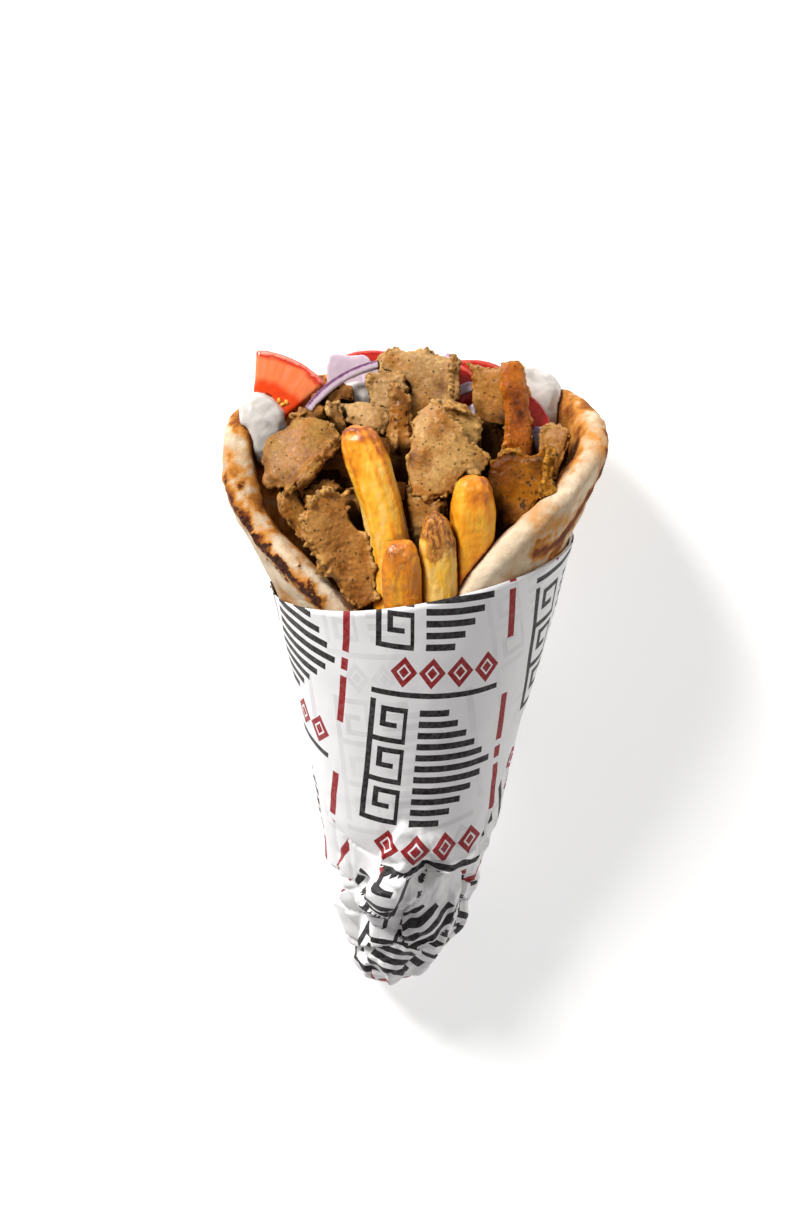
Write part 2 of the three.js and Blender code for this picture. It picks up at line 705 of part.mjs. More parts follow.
// Tomatoes, cut across in rounds and then in sectors: where the round's middle is, which way the sector's
// middle line points and which way the cut face looks.
const TOMATOES = [
  { name: "tomato_left", middle: [-48.7, 14, 48.2], up: [0.44, 0.31, 0.84], facing: [-0.1, -0.93, 0.34] },
  { name: "tomato_centre", middle: [6.5, 15, 55], up: [0.5, 0.3, 0.85], facing: [-0.05, -1, 0.35] },
  { name: "tomato_back", middle: [20.5, 22, 51.5], up: [0.1, 0.22, 0.95], facing: [0, -1, 0.2] },
  { name: "tomato_right", middle: [28.6, 8, 52.6], up: [0.74, 0.25, 0.62], facing: [-0.2, -1, 0.2] },
  { name: "tomato_back_left", middle: [-11, 26, 52.5], up: [-0.05, 0.2, 0.95], facing: [0.1, -1, 0.3] },
];
const TOMATO_SIZES = {
  tomato_left: { outer: 31.4, sweep: 46, thick: 5.5 },
  tomato_centre: { outer: 22.5, sweep: 62, thick: 6 },
  tomato_back: { outer: 23, sweep: 60, thick: 5 },
  tomato_right: { outer: 18, sweep: 56, thick: 6 },
  tomato_back_left: { outer: 24, sweep: 46, thick: 5 },
};

// Red onion: a long strip of a ring, and pieces of a layer.
const ONION_STRIP = {
  name: "onion_strip",
  middle: [2.4, -3, 40.2],
  up: [-0.54, 0.29, 0.79],
  facing: [0.3, -0.8, 0.5],
  outer: 42.4,
  inner: 39.6,
  sweep: 44,
  thick: 3,
  bevel: 0.5,
};
const ONIONS = [
  {
    name: "onion_layer_left",
    at: [-17.4, 23, 73.2],
    pose: { lean: 14, curl: 24 },
    outline: [[-6.2, 3.2], [0, 3], [5, 3], [7.5, -1], [6, -9], [-6, -9]],
  },
  {
    name: "onion_layer_middle",
    at: [-9.1, 19.5, 71.6],
    pose: { lean: 18, curl: 16 },
    outline: [[-3.6, 1.6], [3.4, 1.8], [4.4, -5], [-3.6, -5]],
  },
  {
    name: "onion_strip_right",
    at: [17.3, 14, 67],
    pose: { lean: 18, turn: -10, roll: 24, bend: 30 },
    outline: [[-5, 1.4], [0, 2], [5, 1.4], [5, -1.2], [0, -1], [-5, -1.4]],
  },
  {
    name: "onion_strip_low",
    at: [21.2, 10.5, 61.4],
    pose: { lean: 18, turn: -14, roll: 40, bend: 20 },
    outline: [[-5, 1.2], [0, 2.2], [5, 1.4], [5, -1.6], [0, -2], [-5, -1.6]],
  },
  {
    name: "onion_back",
    at: [16, 25.5, 72.4],
    pose: { lean: 16, roll: -38, bend: 16 },
    outline: [[-4.5, 1.6], [0, 2], [4.5, 1.6], [4.5, -1.8], [0, -2.2], [-4.5, -1.8]],
  },
  {
    name: "onion_far_right",
    at: [41.9, 5.5, 54.6],
    pose: { lean: 16, turn: -16, curl: 16 },
    outline: [[-3, 2.6], [3, 3], [3.6, -3.5], [-3, -4]],
  },
];

// Spoonfuls of yoghurt sauce.
const SAUCES = [
  { name: "sauce_left", middle: [-44.6, 8.5, 56.2], size: [16.5, 25, 19], up: [-0.22, 0.1, 1], wave: 0.06 },
  { name: "sauce_middle", middle: [-14.5, 15.5, 63], size: [16, 15, 13], up: [0, 0, 1], wave: 0.08 },
  { name: "sauce_right", middle: [39.6, 24.5, 58.6], size: [25, 28, 18], up: [-0.6, 0.15, 0.8], wave: 0.05 },
];

// Every piece with the function that makes it and its colour, in the order in which they are put in.
const PIECES = [
  ...CHIPS.map((spec) => ({ ...spec, ...CHIP_SIZES[spec.name], make: chip, look: LOOKS.chip })),
  ...SHAVINGS.map((spec) => ({ look: LOOKS.meat, ...spec, make: sheet })),
  ...TOMATOES.map((spec) => ({ ...spec, ...TOMATO_SIZES[spec.name], make: sector, look: LOOKS.tomato })),
  { ...ONION_STRIP, make: sector, look: LOOKS.onion },
  ...ONIONS.map((spec) => ({ ...spec, thick: 2, make: sheet, look: LOOKS.onion })),
  ...SAUCES.map((spec) => ({ ...spec, make: dollop, look: LOOKS.sauce })),
];

// Each piece gives way to the ones before it, so that no two share any space. `taken` holds what is there
// already, grown by the gap.
function fillTheMouth(taken) {
  return PIECES.map(({ name, make, look, ...spec }, index) => {
    const seeded = { ...spec, seed: 2 * index + 1 };
    const whole = solid(make(seeded));
    const cut = taken.reduce((rest, other) => rest.subtract(other), whole);
    taken.push(solid(make(seeded, GAP)));
    return { name, look, made: largest(cut) };
  });
}

// ---- Assembly -----------------------------------------------------------------------------------

function named(name, made, look) {
  const mesh = new THREE.Mesh(geometryOf(made), new THREE.MeshStandardMaterial({ metalness: 0, ...look }));
  mesh.name = name;
  return mesh;
}

const fixed = [paper, bread, core].map((make) => solid(make(GAP)));
const wrap = new THREE.Group();
wrap.add(named("paper", solid(paper()), LOOKS.paper));
wrap.add(named("bread", largest(solid(bread()).subtract(solid(paper(LEAST_GAP)))), LOOKS.bread));
wrap.add(named("meat_core", largest(solid(core()).subtract(solid(bread(LEAST_GAP)))), LOOKS.heap));
for (const { name, made, look } of fillTheMouth(fixed)) wrap.add(named(name, made, look));

// Laid on its back, with the ground at z = 0 and the origin under the middle of its box.
wrap.rotation.x = -Math.PI / 2 + LIE_ANGLE;
wrap.updateMatrixWorld(true);
const box = new THREE.Box3().setFromObject(wrap, true);
const centre = box.getCenter(new THREE.Vector3());
wrap.position.set(-centre.x, -centre.y, -box.min.z);

const gyroWrap = new THREE.Group();
gyroWrap.add(wrap);

export default gyroWrap;
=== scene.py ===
"""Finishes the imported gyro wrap: flatbread, shaved meat, chips, vegetables and sauce in a printed paper cone.

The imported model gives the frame: every node is rebuilt as a fine closed surface where it lies, roughened as
the food is, and given a material of its own. The wrap is described standing, in millimetres, with x to its
right, y to its back and z up to its mouth, and LAY turns that into the frame, where it lies on its back, in
metres.
"""

from __future__ import annotations

import json
import logging
import math
from dataclasses import dataclass, field
from enum import Enum

import bmesh
import bpy
import numpy as np
from bmesh.types import BMesh
from bpy.types import ID, Material, Node, NodeSocket, NodeTree, Object
from mathutils import Matrix, Vector
from mathutils.bvhtree import BVHTree

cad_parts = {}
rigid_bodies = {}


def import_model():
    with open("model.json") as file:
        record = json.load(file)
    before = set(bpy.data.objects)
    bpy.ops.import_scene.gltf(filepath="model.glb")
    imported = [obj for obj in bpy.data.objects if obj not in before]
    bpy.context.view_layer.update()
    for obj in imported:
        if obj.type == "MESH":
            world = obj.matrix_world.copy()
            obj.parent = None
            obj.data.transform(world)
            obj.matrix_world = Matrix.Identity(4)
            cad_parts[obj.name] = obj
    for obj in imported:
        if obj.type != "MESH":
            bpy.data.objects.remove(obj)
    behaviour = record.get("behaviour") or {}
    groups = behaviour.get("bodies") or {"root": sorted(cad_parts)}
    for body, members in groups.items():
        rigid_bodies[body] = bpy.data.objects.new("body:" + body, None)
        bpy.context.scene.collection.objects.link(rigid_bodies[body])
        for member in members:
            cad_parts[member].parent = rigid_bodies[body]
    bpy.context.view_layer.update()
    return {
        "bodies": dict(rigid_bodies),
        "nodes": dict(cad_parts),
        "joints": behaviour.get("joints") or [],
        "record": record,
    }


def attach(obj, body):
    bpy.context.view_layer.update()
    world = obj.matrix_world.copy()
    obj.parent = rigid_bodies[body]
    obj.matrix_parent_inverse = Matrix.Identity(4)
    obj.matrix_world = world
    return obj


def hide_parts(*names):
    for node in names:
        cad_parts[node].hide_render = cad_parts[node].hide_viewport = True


LOG = logging.getLogger("gyro_wrap")

MM = 0.001
LIE_ANGLE = math.atan(0.185)
WRAP_ORIGIN_MM = (-3.106, 23.376, 33.915)
LAY = Matrix.Translation(Vector(WRAP_ORIGIN_MM) * MM) @ Matrix.Rotation(LIE_ANGLE - math.pi / 2, 4, "X")
TO_STANDING = Matrix.Scale(1 / MM, 4) @ LAY.inverted()
TURN = np.array(LAY.to_3x3())
SHIFT = np.array(LAY.translation)

# How many ways are looked along to find how shut in a spot is: round the meat, and round smooth pieces.
RAYS, FEW_RAYS = 14, 8
# A height below the whole wrap.
BELOW_ALL = -200.0

Spot = tuple[float, float, float]
Path = tuple[tuple[float, float], ...]


# ---- Numbers over whole meshes --------------------------------------------------------------------


def standing(points: np.ndarray) -> np.ndarray:
    """Points of the frame, in metres, as points of the standing wrap, in millimetres."""
    return (points - SHIFT) @ TURN / MM


def lying(points: np.ndarray) -> np.ndarray:
    """Points of the standing wrap as points of the frame, with none under the table.

    Args:
        points: standing, in millimetres.

    Returns:
        Lying, in metres.
    """
    places = points * MM @ TURN.T + SHIFT
    places[:, 2] = np.maximum(places[:, 2], 0)
    return places


def smooth(values: np.ndarray, low: float, high: float) -> np.ndarray:
    """A smooth step from 0 at `low` to 1 at `high`, which may be the smaller of the two."""
    share = np.clip((values - low) / (high - low), 0, 1)
    return share * share * (3 - 2 * share)


def bell(values: np.ndarray) -> np.ndarray:
    """A bell of height 1 and half width about 1."""
    return np.exp(-values * values)


def length(vectors: np.ndarray) -> np.ndarray:
    """The lengths of row vectors, as a column."""
    return np.linalg.norm(vectors, axis=1, keepdims=True)


def unit(vectors: np.ndarray) -> np.ndarray:
    """Row vectors made one long."""
    return vectors / np.maximum(length(vectors), 1e-9)


def dots(one: np.ndarray, other: np.ndarray) -> np.ndarray:
    """The products of row vectors, row by row."""
    return np.einsum("ij,ij->i", one, other)


class Grain:
    """Smooth seeded noise, worked out for all the points of a mesh at once."""

    def __init__(self, seed: int) -> None:
        """Draws the directions that the noise leans in, always the same ones for a seed.

        Args:
            seed: which noise it is.
        """
        draw = np.random.default_rng(seed)
        self.order = draw.permutation(256)
        self.leans = unit(draw.normal(size=(256, 3)))

    def once(self, points: np.ndarray) -> np.ndarray:
        """One layer of noise with waves one long, from about -1 to 1.

        Args:
            points: where, in waves.

        Returns:
            One value for each point.
        """
        cell = np.floor(points).astype(int)
        part = points - cell
        fade = part**3 * (part * (part * 6 - 15) + 10)
        total = np.zeros(len(points))
        for corner in np.ndindex(2, 2, 2):
            weight = np.prod(np.where(corner, fade, 1 - fade), axis=1)
            total += weight * dots(self.lean(cell + corner), part - corner)
        return total * 1.6

    def lean(self, cells: np.ndarray) -> np.ndarray:
        """The direction that belongs to each cell of a lattice."""
        across, deep, high = (cells & 255).T
        return self.leans[self.order[(self.order[(self.order[across] + deep) & 255] + high) & 255]]

    def layers(self, points: np.ndarray, size: float, count: int = 3, fall: float = 0.5) -> np.ndarray:
        """Layers of noise, each half the size of the one before and `fall` times as strong.

        Args:
            points: where, in millimetres.
            size: the longest wave, in millimetres.
            count: how many layers.
            fall: how much weaker each layer is.

        Returns:
            The noise, from about -1 to 1.
        """
        total = np.zeros(len(points))
        for layer in range(count):
            total += fall**layer * self.once(points * (2**layer / size) + 17.3 * layer)
        return total / sum(fall**layer for layer in range(count))

    def ridges(self, points: np.ndarray, size: float, count: int = 3) -> np.ndarray:
        """Sharp crests where the noise changes sign, from 0 to 1.

        Args:
            points: where, in millimetres.
            size: how long the longest waves are.
            count: how many layers of waves.

        Returns:
            One value for each point.
        """
        total = np.zeros(len(points))
        for layer in range(count):
            total += 0.5**layer * (1 - np.abs(self.once(points * (2**layer / size) + 9.1 * layer)) * 2)
        return np.clip(total / sum(0.5**layer for layer in range(count)), 0, 1)

    def pits(self, points: np.ndarray, size: float, reach: float = 0.32) -> np.ndarray:
        """Round hollows scattered about: 1 in the middle of each, 0 beyond its reach.

        Args:
            points: where, in millimetres.
            size: how far apart they are.
            reach: how wide each is, as a share of that.

        Returns:
            One value for each point.
        """
        scaled = points / size
        cell = np.floor(scaled).astype(int)
        nearest = np.full(len(points), np.inf)
        for step in np.ndindex(3, 3, 3):
            at = cell + np.array(step) - 1
            middle = at + 0.5 + 0.4 * self.lean(at)
            nearest = np.minimum(nearest, np.linalg.norm(scaled - middle, axis=1))
        return 1 - smooth(nearest, 0, reach)


def along_rows(rows: Path, places: np.ndarray) -> np.ndarray:
    """Values between rows of (place, value)."""
    return np.interp(places, [row[0] for row in rows], [row[1] for row in rows])


# ---- Meshes ---------------------------------------------------------------------------------------


@dataclass
class Surface:
    """The vertices of a piece as points and normals of the standing wrap, moved and marked together."""

    piece: Object
    points: np.ndarray = field(init=False)
    normals: np.ndarray = field(init=False)

    def __post_init__(self) -> None:
        """Reads the mesh for the first time."""
        self.read()

    def read(self) -> None:
        """Reads points and normals from the mesh."""
        vertices = self.piece.data.vertices
        flat = np.empty(len(vertices) * 3)
        vertices.foreach_get("co", flat)
        self.points = standing(flat.reshape(-1, 3))
        vertices.foreach_get("normal", flat)
        self.normals = flat.reshape(-1, 3) @ TURN

    def push(self, amounts: np.ndarray) -> None:
        """Moves each point along its normal, and reads the mesh again.

        Args:
            amounts: how far outwards, in millimetres, for each point.
        """
        places = lying(self.points + amounts[:, None] * self.normals)
        self.piece.data.vertices.foreach_set("co", places.ravel())
        self.piece.data.update()
        self.read()

    def marked(self, name: str) -> np.ndarray:
        """Reads an attribute of the points.

        Args:
            name: the attribute.

        Returns:
            One value for each point.
        """
        values = np.empty(len(self.points))
        self.piece.data.attributes[name].data.foreach_get("value", values)
        return values

    def mark(self, name: str, values: np.ndarray) -> None:
        """Keeps a value at each vertex, for the material to read."""
        kept = self.piece.data.attributes.new(name, "FLOAT", "POINT")
        kept.data.foreach_set("value", np.clip(values, 0, 1).astype(np.float32))


def link(name: str, data: ID) -> Object:
    """Puts a mesh, a lamp or a camera into the scene.

    Args:
        name: the object's name.
        data: what it shows.

    Returns:
        The new object.
    """
    piece = bpy.data.objects.new(name, data)
    bpy.context.scene.collection.objects.link(piece)
    return piece


def shaped(name: str, shape: BMesh) -> Object:
    """Puts a shape into the scene, and frees it.

    Args:
        name: the piece's name.
        shape: its mesh.

    Returns:
        The new piece.
    """
    mesh = bpy.data.meshes.new(name)
    shape.to_mesh(mesh)
    shape.free()
    return link(name, mesh)


def applied(piece: Object) -> Object:
    """Makes a piece's modifiers part of its mesh.

    Args:
        piece: the piece.

    Returns:
        The same piece.
    """
    graph = bpy.context.evaluated_depsgraph_get()
    mesh = bpy.data.meshes.new_from_object(piece.evaluated_get(graph))
    rough = piece.data
    piece.modifiers.clear()
    piece.data = mesh
    bpy.data.meshes.remove(rough)
    return piece


def merged(frame: dict, node: str) -> BMesh:
    """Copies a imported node's mesh, with its shared corners merged.

    Args:
        frame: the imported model.
        node: the node's name.

    Returns:
        The copy, for the caller to free.
    """
    shape = bmesh.new()
    shape.from_mesh(frame["nodes"][node].data)
    bmesh.ops.remove_doubles(shape, verts=shape.verts, dist=1e-6)
    return shape


def rebuilt(frame: dict, node: str, name: str, cell_mm: float, rounds: int) -> Object:
    """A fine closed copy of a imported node, with even cells and softened facets.

    Args:
        frame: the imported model.
        node: the node that is copied.
        name: the new piece's name.
        cell_mm: the size of its cells.
        rounds: how often it is smoothed.

    Returns:
        The piece, riding on the root in place of the node.
    """
    piece = shaped(name, merged(frame, node))
    cells = piece.modifiers.new("cells", "REMESH")
    cells.mode = "VOXEL"
    cells.voxel_size = cell_mm * MM * 1
    cells.use_smooth_shade = True
    softened = piece.modifiers.new("softened", "SMOOTH")
    softened.factor = 0.5
    softened.iterations = rounds
    applied(piece)
    return settle(piece, node)


def settle(piece: Object, *nodes: str) -> Object:
    """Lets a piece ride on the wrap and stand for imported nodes.

    Args:
        piece: the piece.
        nodes: the nodes that it replaces.

    Returns:
        The same piece.
    """
    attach(piece, "root")
    if nodes:
        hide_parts(*nodes)
    return piece


def finished(piece: Object, finish: Finish) -> Object:
    """Gives a piece its only material.

    Args:
        piece: the piece.
        finish: its finish.

    Returns:
        The same piece.
    """
    piece.data.materials.clear()
    piece.data.materials.append(finish.material())
    return piece


@dataclass
class Crevices:
    """How much of the open air each spot of the food is cut off from by the pieces round it, which the
    materials paint as shade.
    """

    frame: dict
    reach_mm: float = 26.0
    lift_mm: float = 1.1
    # How much painted shade a spot gets that lies down in a gap, and how far behind the front of the heap that
    # starts.
    sunk: float = 0.66
    behind_mm: tuple[float, float] = (7.0, 17.0)
    # Farther back than this, near the mouth, the heap is open to the air again.
    far_mm: tuple[float, float] = (5.0, 14.0)
    mouth_mm: tuple[float, float] = (46.0, 56.0)
    # How far back the front of the heap is at some heights.
    front: Path = ((0, -38), (20, -34), (40, -27), (50, -22), (60, -14), (68, 0), (74, 60))

    def __post_init__(self) -> None:
        """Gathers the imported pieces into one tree, without the paper, which the light comes through."""
        shape = bmesh.new()
        for name, node in self.frame["nodes"].items():
            if name != "paper":
                shape.from_mesh(node.data)
        shape.transform(TO_STANDING)
        self.tree = BVHTree.FromBMesh(shape)
        shape.free()
        self.ways = unit(np.random.default_rng(5).normal(size=(RAYS, 3)))

    def mark(
        self, surface: Surface, sinks: float = 1.0, lit_from: float = BELOW_ALL, rays: int = RAYS
    ) -> None:
        """Marks each point of a piece with how shut in it is, from 0 to 1, for the materials to paint shade by.

        Args:
            surface: the piece.
            sinks: how much painted shade it gets where it lies well behind the front of the heap.
            lit_from: the height below which it gets painted shade, wherever it lies.
            rays: how many ways are looked along from each point.
        """
        starts = (surface.points + self.lift_mm * surface.normals).tolist()
        met, weight = np.zeros(len(starts)), np.zeros(len(starts))
        for way in self.ways[: rays]:
            slant = surface.normals @ way
            rays_out = zip(starts, (np.sign(slant)[:, None] * way).tolist())
            hits = [self.tree.ray_cast(start, outward, self.reach_mm)[3] for start, outward in rays_out]
            near = np.array([1.0 if hit is None else hit / self.reach_mm for hit in hits])
            met += np.abs(slant) * (1 - near)
            weight += np.abs(slant)
        depth, height = surface.points[:, 1], surface.points[:, 2]
        sunk = sinks * smooth(depth - along_rows(self.front, height), *self.behind_mm)
        sunk *= 1 - smooth(depth, *self.far_mm) * smooth(height, *self.mouth_mm)
        sunk = self.sunk * np.maximum(sunk, smooth(height, lit_from, lit_from - 9))
        surface.mark("shut_in", np.maximum(met / np.maximum(weight, 1e-6), sunk))


# ---- Materials ------------------------------------------------------------------------------------

ATTRIBUTE, BUMP, MAPPING = "ShaderNodeAttribute", "ShaderNodeBump", "ShaderNodeMapping"
MATH, MIX, NOISE = "ShaderNodeMath", "ShaderNodeMix", "ShaderNodeTexNoise"
PLACE, RAMP, RANGE = "ShaderNodeTexCoord", "ShaderNodeValToRGB", "ShaderNodeMapRange"
VECTOR_MATH, VORONOI = "ShaderNodeVectorMath", "ShaderNodeTexVoronoi"
# The output that a node gives where it isn't its first one.
MAIN_OUTPUT = {ATTRIBUTE: "Fac", MIX: 2, PLACE: "Object"}

Input = float | tuple | str | Node | NodeSocket
Stops = tuple[tuple[float, str], ...]


def linear(shade: str) -> tuple[float, float, float, float]:
    """Turns an sRGB hex colour linear.

    Args:
        shade: a hash sign and six digits.

    Returns:
        Red, green, blue and alpha.
    """
    parts = [int(shade[i : i + 2], 16) / 255 for i in (1, 3, 5)]
    red, green, blue = [p / 12.92 if p <= 0.04045 else ((p + 0.055) / 1.055) ** 2.4 for p in parts]
    return red, green, blue, 1.0


def per_mm(waves: float) -> float:
    """A texture scale on metric coordinates, from waves to a millimetre."""
    return waves / MM


def feed(node: Node, inputs: dict[int | str, Input]) -> None:
    """Sets or links inputs of a node.

    Args:
        node: the node.
        inputs: by name or number, a value, an sRGB colour, a socket, or a node for its main output.
    """
    for key, value in inputs.items():
        if isinstance(value, Node):
            value = value.outputs[MAIN_OUTPUT.get(value.bl_idname, 0)]
        if isinstance(value, NodeSocket):
            node.id_data.links.new(value, node.inputs[key])
        else:
            node.inputs[key].default_value = linear(value) if isinstance(value, str) else value


def add(
    tree: NodeTree,
    kind: str,
    inputs: dict[int | str, Input] | None = None,
    stops: Stops = (),
    **settings: object,
) -> Node:
    """Adds a node with its settings and links.

    Args:
        tree: the material's nodes.
        kind: the node's type.
        inputs: what its inputs are fed with.
        stops: places and sRGB colours of a colour ramp, in order.
        **settings: the node's own settings.

    Returns:
        The node.
    """
    node = tree.nodes.new(kind)
    for name, value in settings.items():
        setattr(node, name, value)
    feed(node, inputs or {})
    if stops:
        points = node.color_ramp.elements
        points[0].position, points[-1].position = stops[0][0], stops[-1][0]
        for place, _ in stops[1:-1]:
            points.new(place)
        for point, (_, shade) in zip(points, stops):
            point.color = linear(shade)
    return node


@dataclass(frozen=True)
class Finish:
    """A finish: its name and how its surface reflects."""

    name: str

    def material(self) -> Material:
        """Makes the material, the first time that it is asked for.

        Returns:
            The material.
        """
        made = bpy.data.materials.get(self.name)
        if made is None:
            made = bpy.data.materials.new(self.name)
            made.use_nodes = True
            tree = made.node_tree
            # How far light spreads under the surface is in millimetres in every finish.
            feed(tree.nodes["Principled BSDF"], {"Subsurface Scale": MM} | self.mix(tree, add(tree, PLACE)))
        return made

    def mix(self, tree: NodeTree, place: Node) -> dict[str, Input]:
        """What the shader is fed with.

        Args:
            tree: the material's nodes.
            place: gives each spot's place in metres.

        Returns:
            The shader's inputs by name.
        """
        raise NotImplementedError

    def broken(self, tree: NodeTree, level: Input, noise: Node, amount: float) -> Node:
        """Breaks a level up.

        Args:
            tree: the material's nodes.
            level: the level.
            noise: what it is broken up by, from 0 to 1.
            amount: how much it changes from one end of the noise to the other.

        Returns:
            The level, higher where the noise is over a half.
        """
        centred = add(tree, MATH, {0: noise, 1: 0.5}, operation="SUBTRACT")
        return add(tree, MATH, {0: centred, 1: amount, 2: level}, operation="MULTIPLY_ADD")

    def painted_gap_shade(self, tree: NodeTree, colour: Node, dark: str, strength: float) -> Node:
        """Darkens a colour where the pieces round it shut it in, as painted shade of the gaps.

        Args:
            tree: the material's nodes.
            colour: the colour out of the shade.
            dark: the colour of the painted shade.
            strength: how much of it there is at most.

        Returns:
            The colour.
        """
        shut_in = add(tree, ATTRIBUTE, attribute_name="shut_in")
        span = {0: shut_in, 1: 0.28, 2: 0.66, 3: 0.0, 4: strength}
        share = add(tree, RANGE, span, interpolation_type="SMOOTHSTEP")
        return add(tree, MIX, {0: share, 6: colour, 7: dark}, data_type="RGBA")


@dataclass(frozen=True)
class BakedFlatbread(Finish):
    """Flatbread baked on a griddle: floury cream dough, golden dapples and a charred seam.

    The dry crumb scatters light evenly, so the eye gets soft shading with no gloss, warm brown where the
    griddle touched and a rough dark crust where it burnt.
    """

    flour: str = "#E4CFB2"
    dough: str = "#CFAF8A"
    golden: str = "#CA8430"
    brown: str = "#85420F"
    char: str = "#2A1208"

    def mix(self, tree: NodeTree, place: Node) -> dict[str, Input]:
        """Colour by how far each spot is baked, broken up by grain; fine crumb as bump.

        Args:
            tree: the material's nodes.
            place: gives each spot's place in metres.

        Returns:
            The shader's inputs by name.
        """
        baked = add(tree, ATTRIBUTE, attribute_name="baked")
        charred = add(tree, ATTRIBUTE, attribute_name="charred")
        dapple = add(tree, NOISE, {"Vector": place, "Scale": per_mm(0.16), "Detail": 6.0, "Roughness": 0.62})
        crumb = add(tree, NOISE, {"Vector": place, "Scale": per_mm(0.9), "Detail": 4.0, "Roughness": 0.7})
        level = self.broken(tree, self.broken(tree, baked, dapple, 0.75), crumb, 0.28)
        pale = ((0.0, self.flour), (0.22, self.dough))
        toasts = pale + ((0.44, self.golden), (0.68, self.brown), (1.0, "#55260D"))
        toasted = add(tree, RAMP, {"Fac": level}, toasts)
        edge = {0: self.broken(tree, charred, crumb, 1.5), 1: 0.42, 2: 0.62, 3: 0.0, 4: 1.0}
        burnt = add(tree, RANGE, edge, interpolation_type="SMOOTHSTEP")
        crust = add(tree, RAMP, {"Fac": crumb}, ((0.42, self.char), (0.52, "#4A1C0A"), (0.66, "#8A4216")))
        colour = add(tree, MIX, {0: burnt, 6: toasted, 7: crust}, data_type="RGBA")
        pores = add(tree, NOISE, {"Vector": place, "Scale": per_mm(0.45), "Detail": 8.0, "Roughness": 0.72})
        # The charred crust is blistered, so its pores stand out about three times as far.
        rough = add(tree, RANGE, {0: charred, 1: 0.1, 2: 0.7, 3: 0.8, 4: 2.2})
        height = add(tree, MATH, {0: pores, 1: rough}, operation="MULTIPLY")
        return {
            # Painted shade, dark brown, where the pieces round the bread shut it in.
            "Base Color": self.painted_gap_shade(tree, colour, "#6E3208", 0.8),
            "Roughness": 0.78,
            "Specular IOR Level": 0.28,
            "Subsurface Weight": 0.06,
            "Subsurface Radius": (2.4, 1.2, 0.6),
            "Normal": add(tree, BUMP, {"Strength": 0.85, "Distance": 1.1 * MM, "Height": height}),
        }


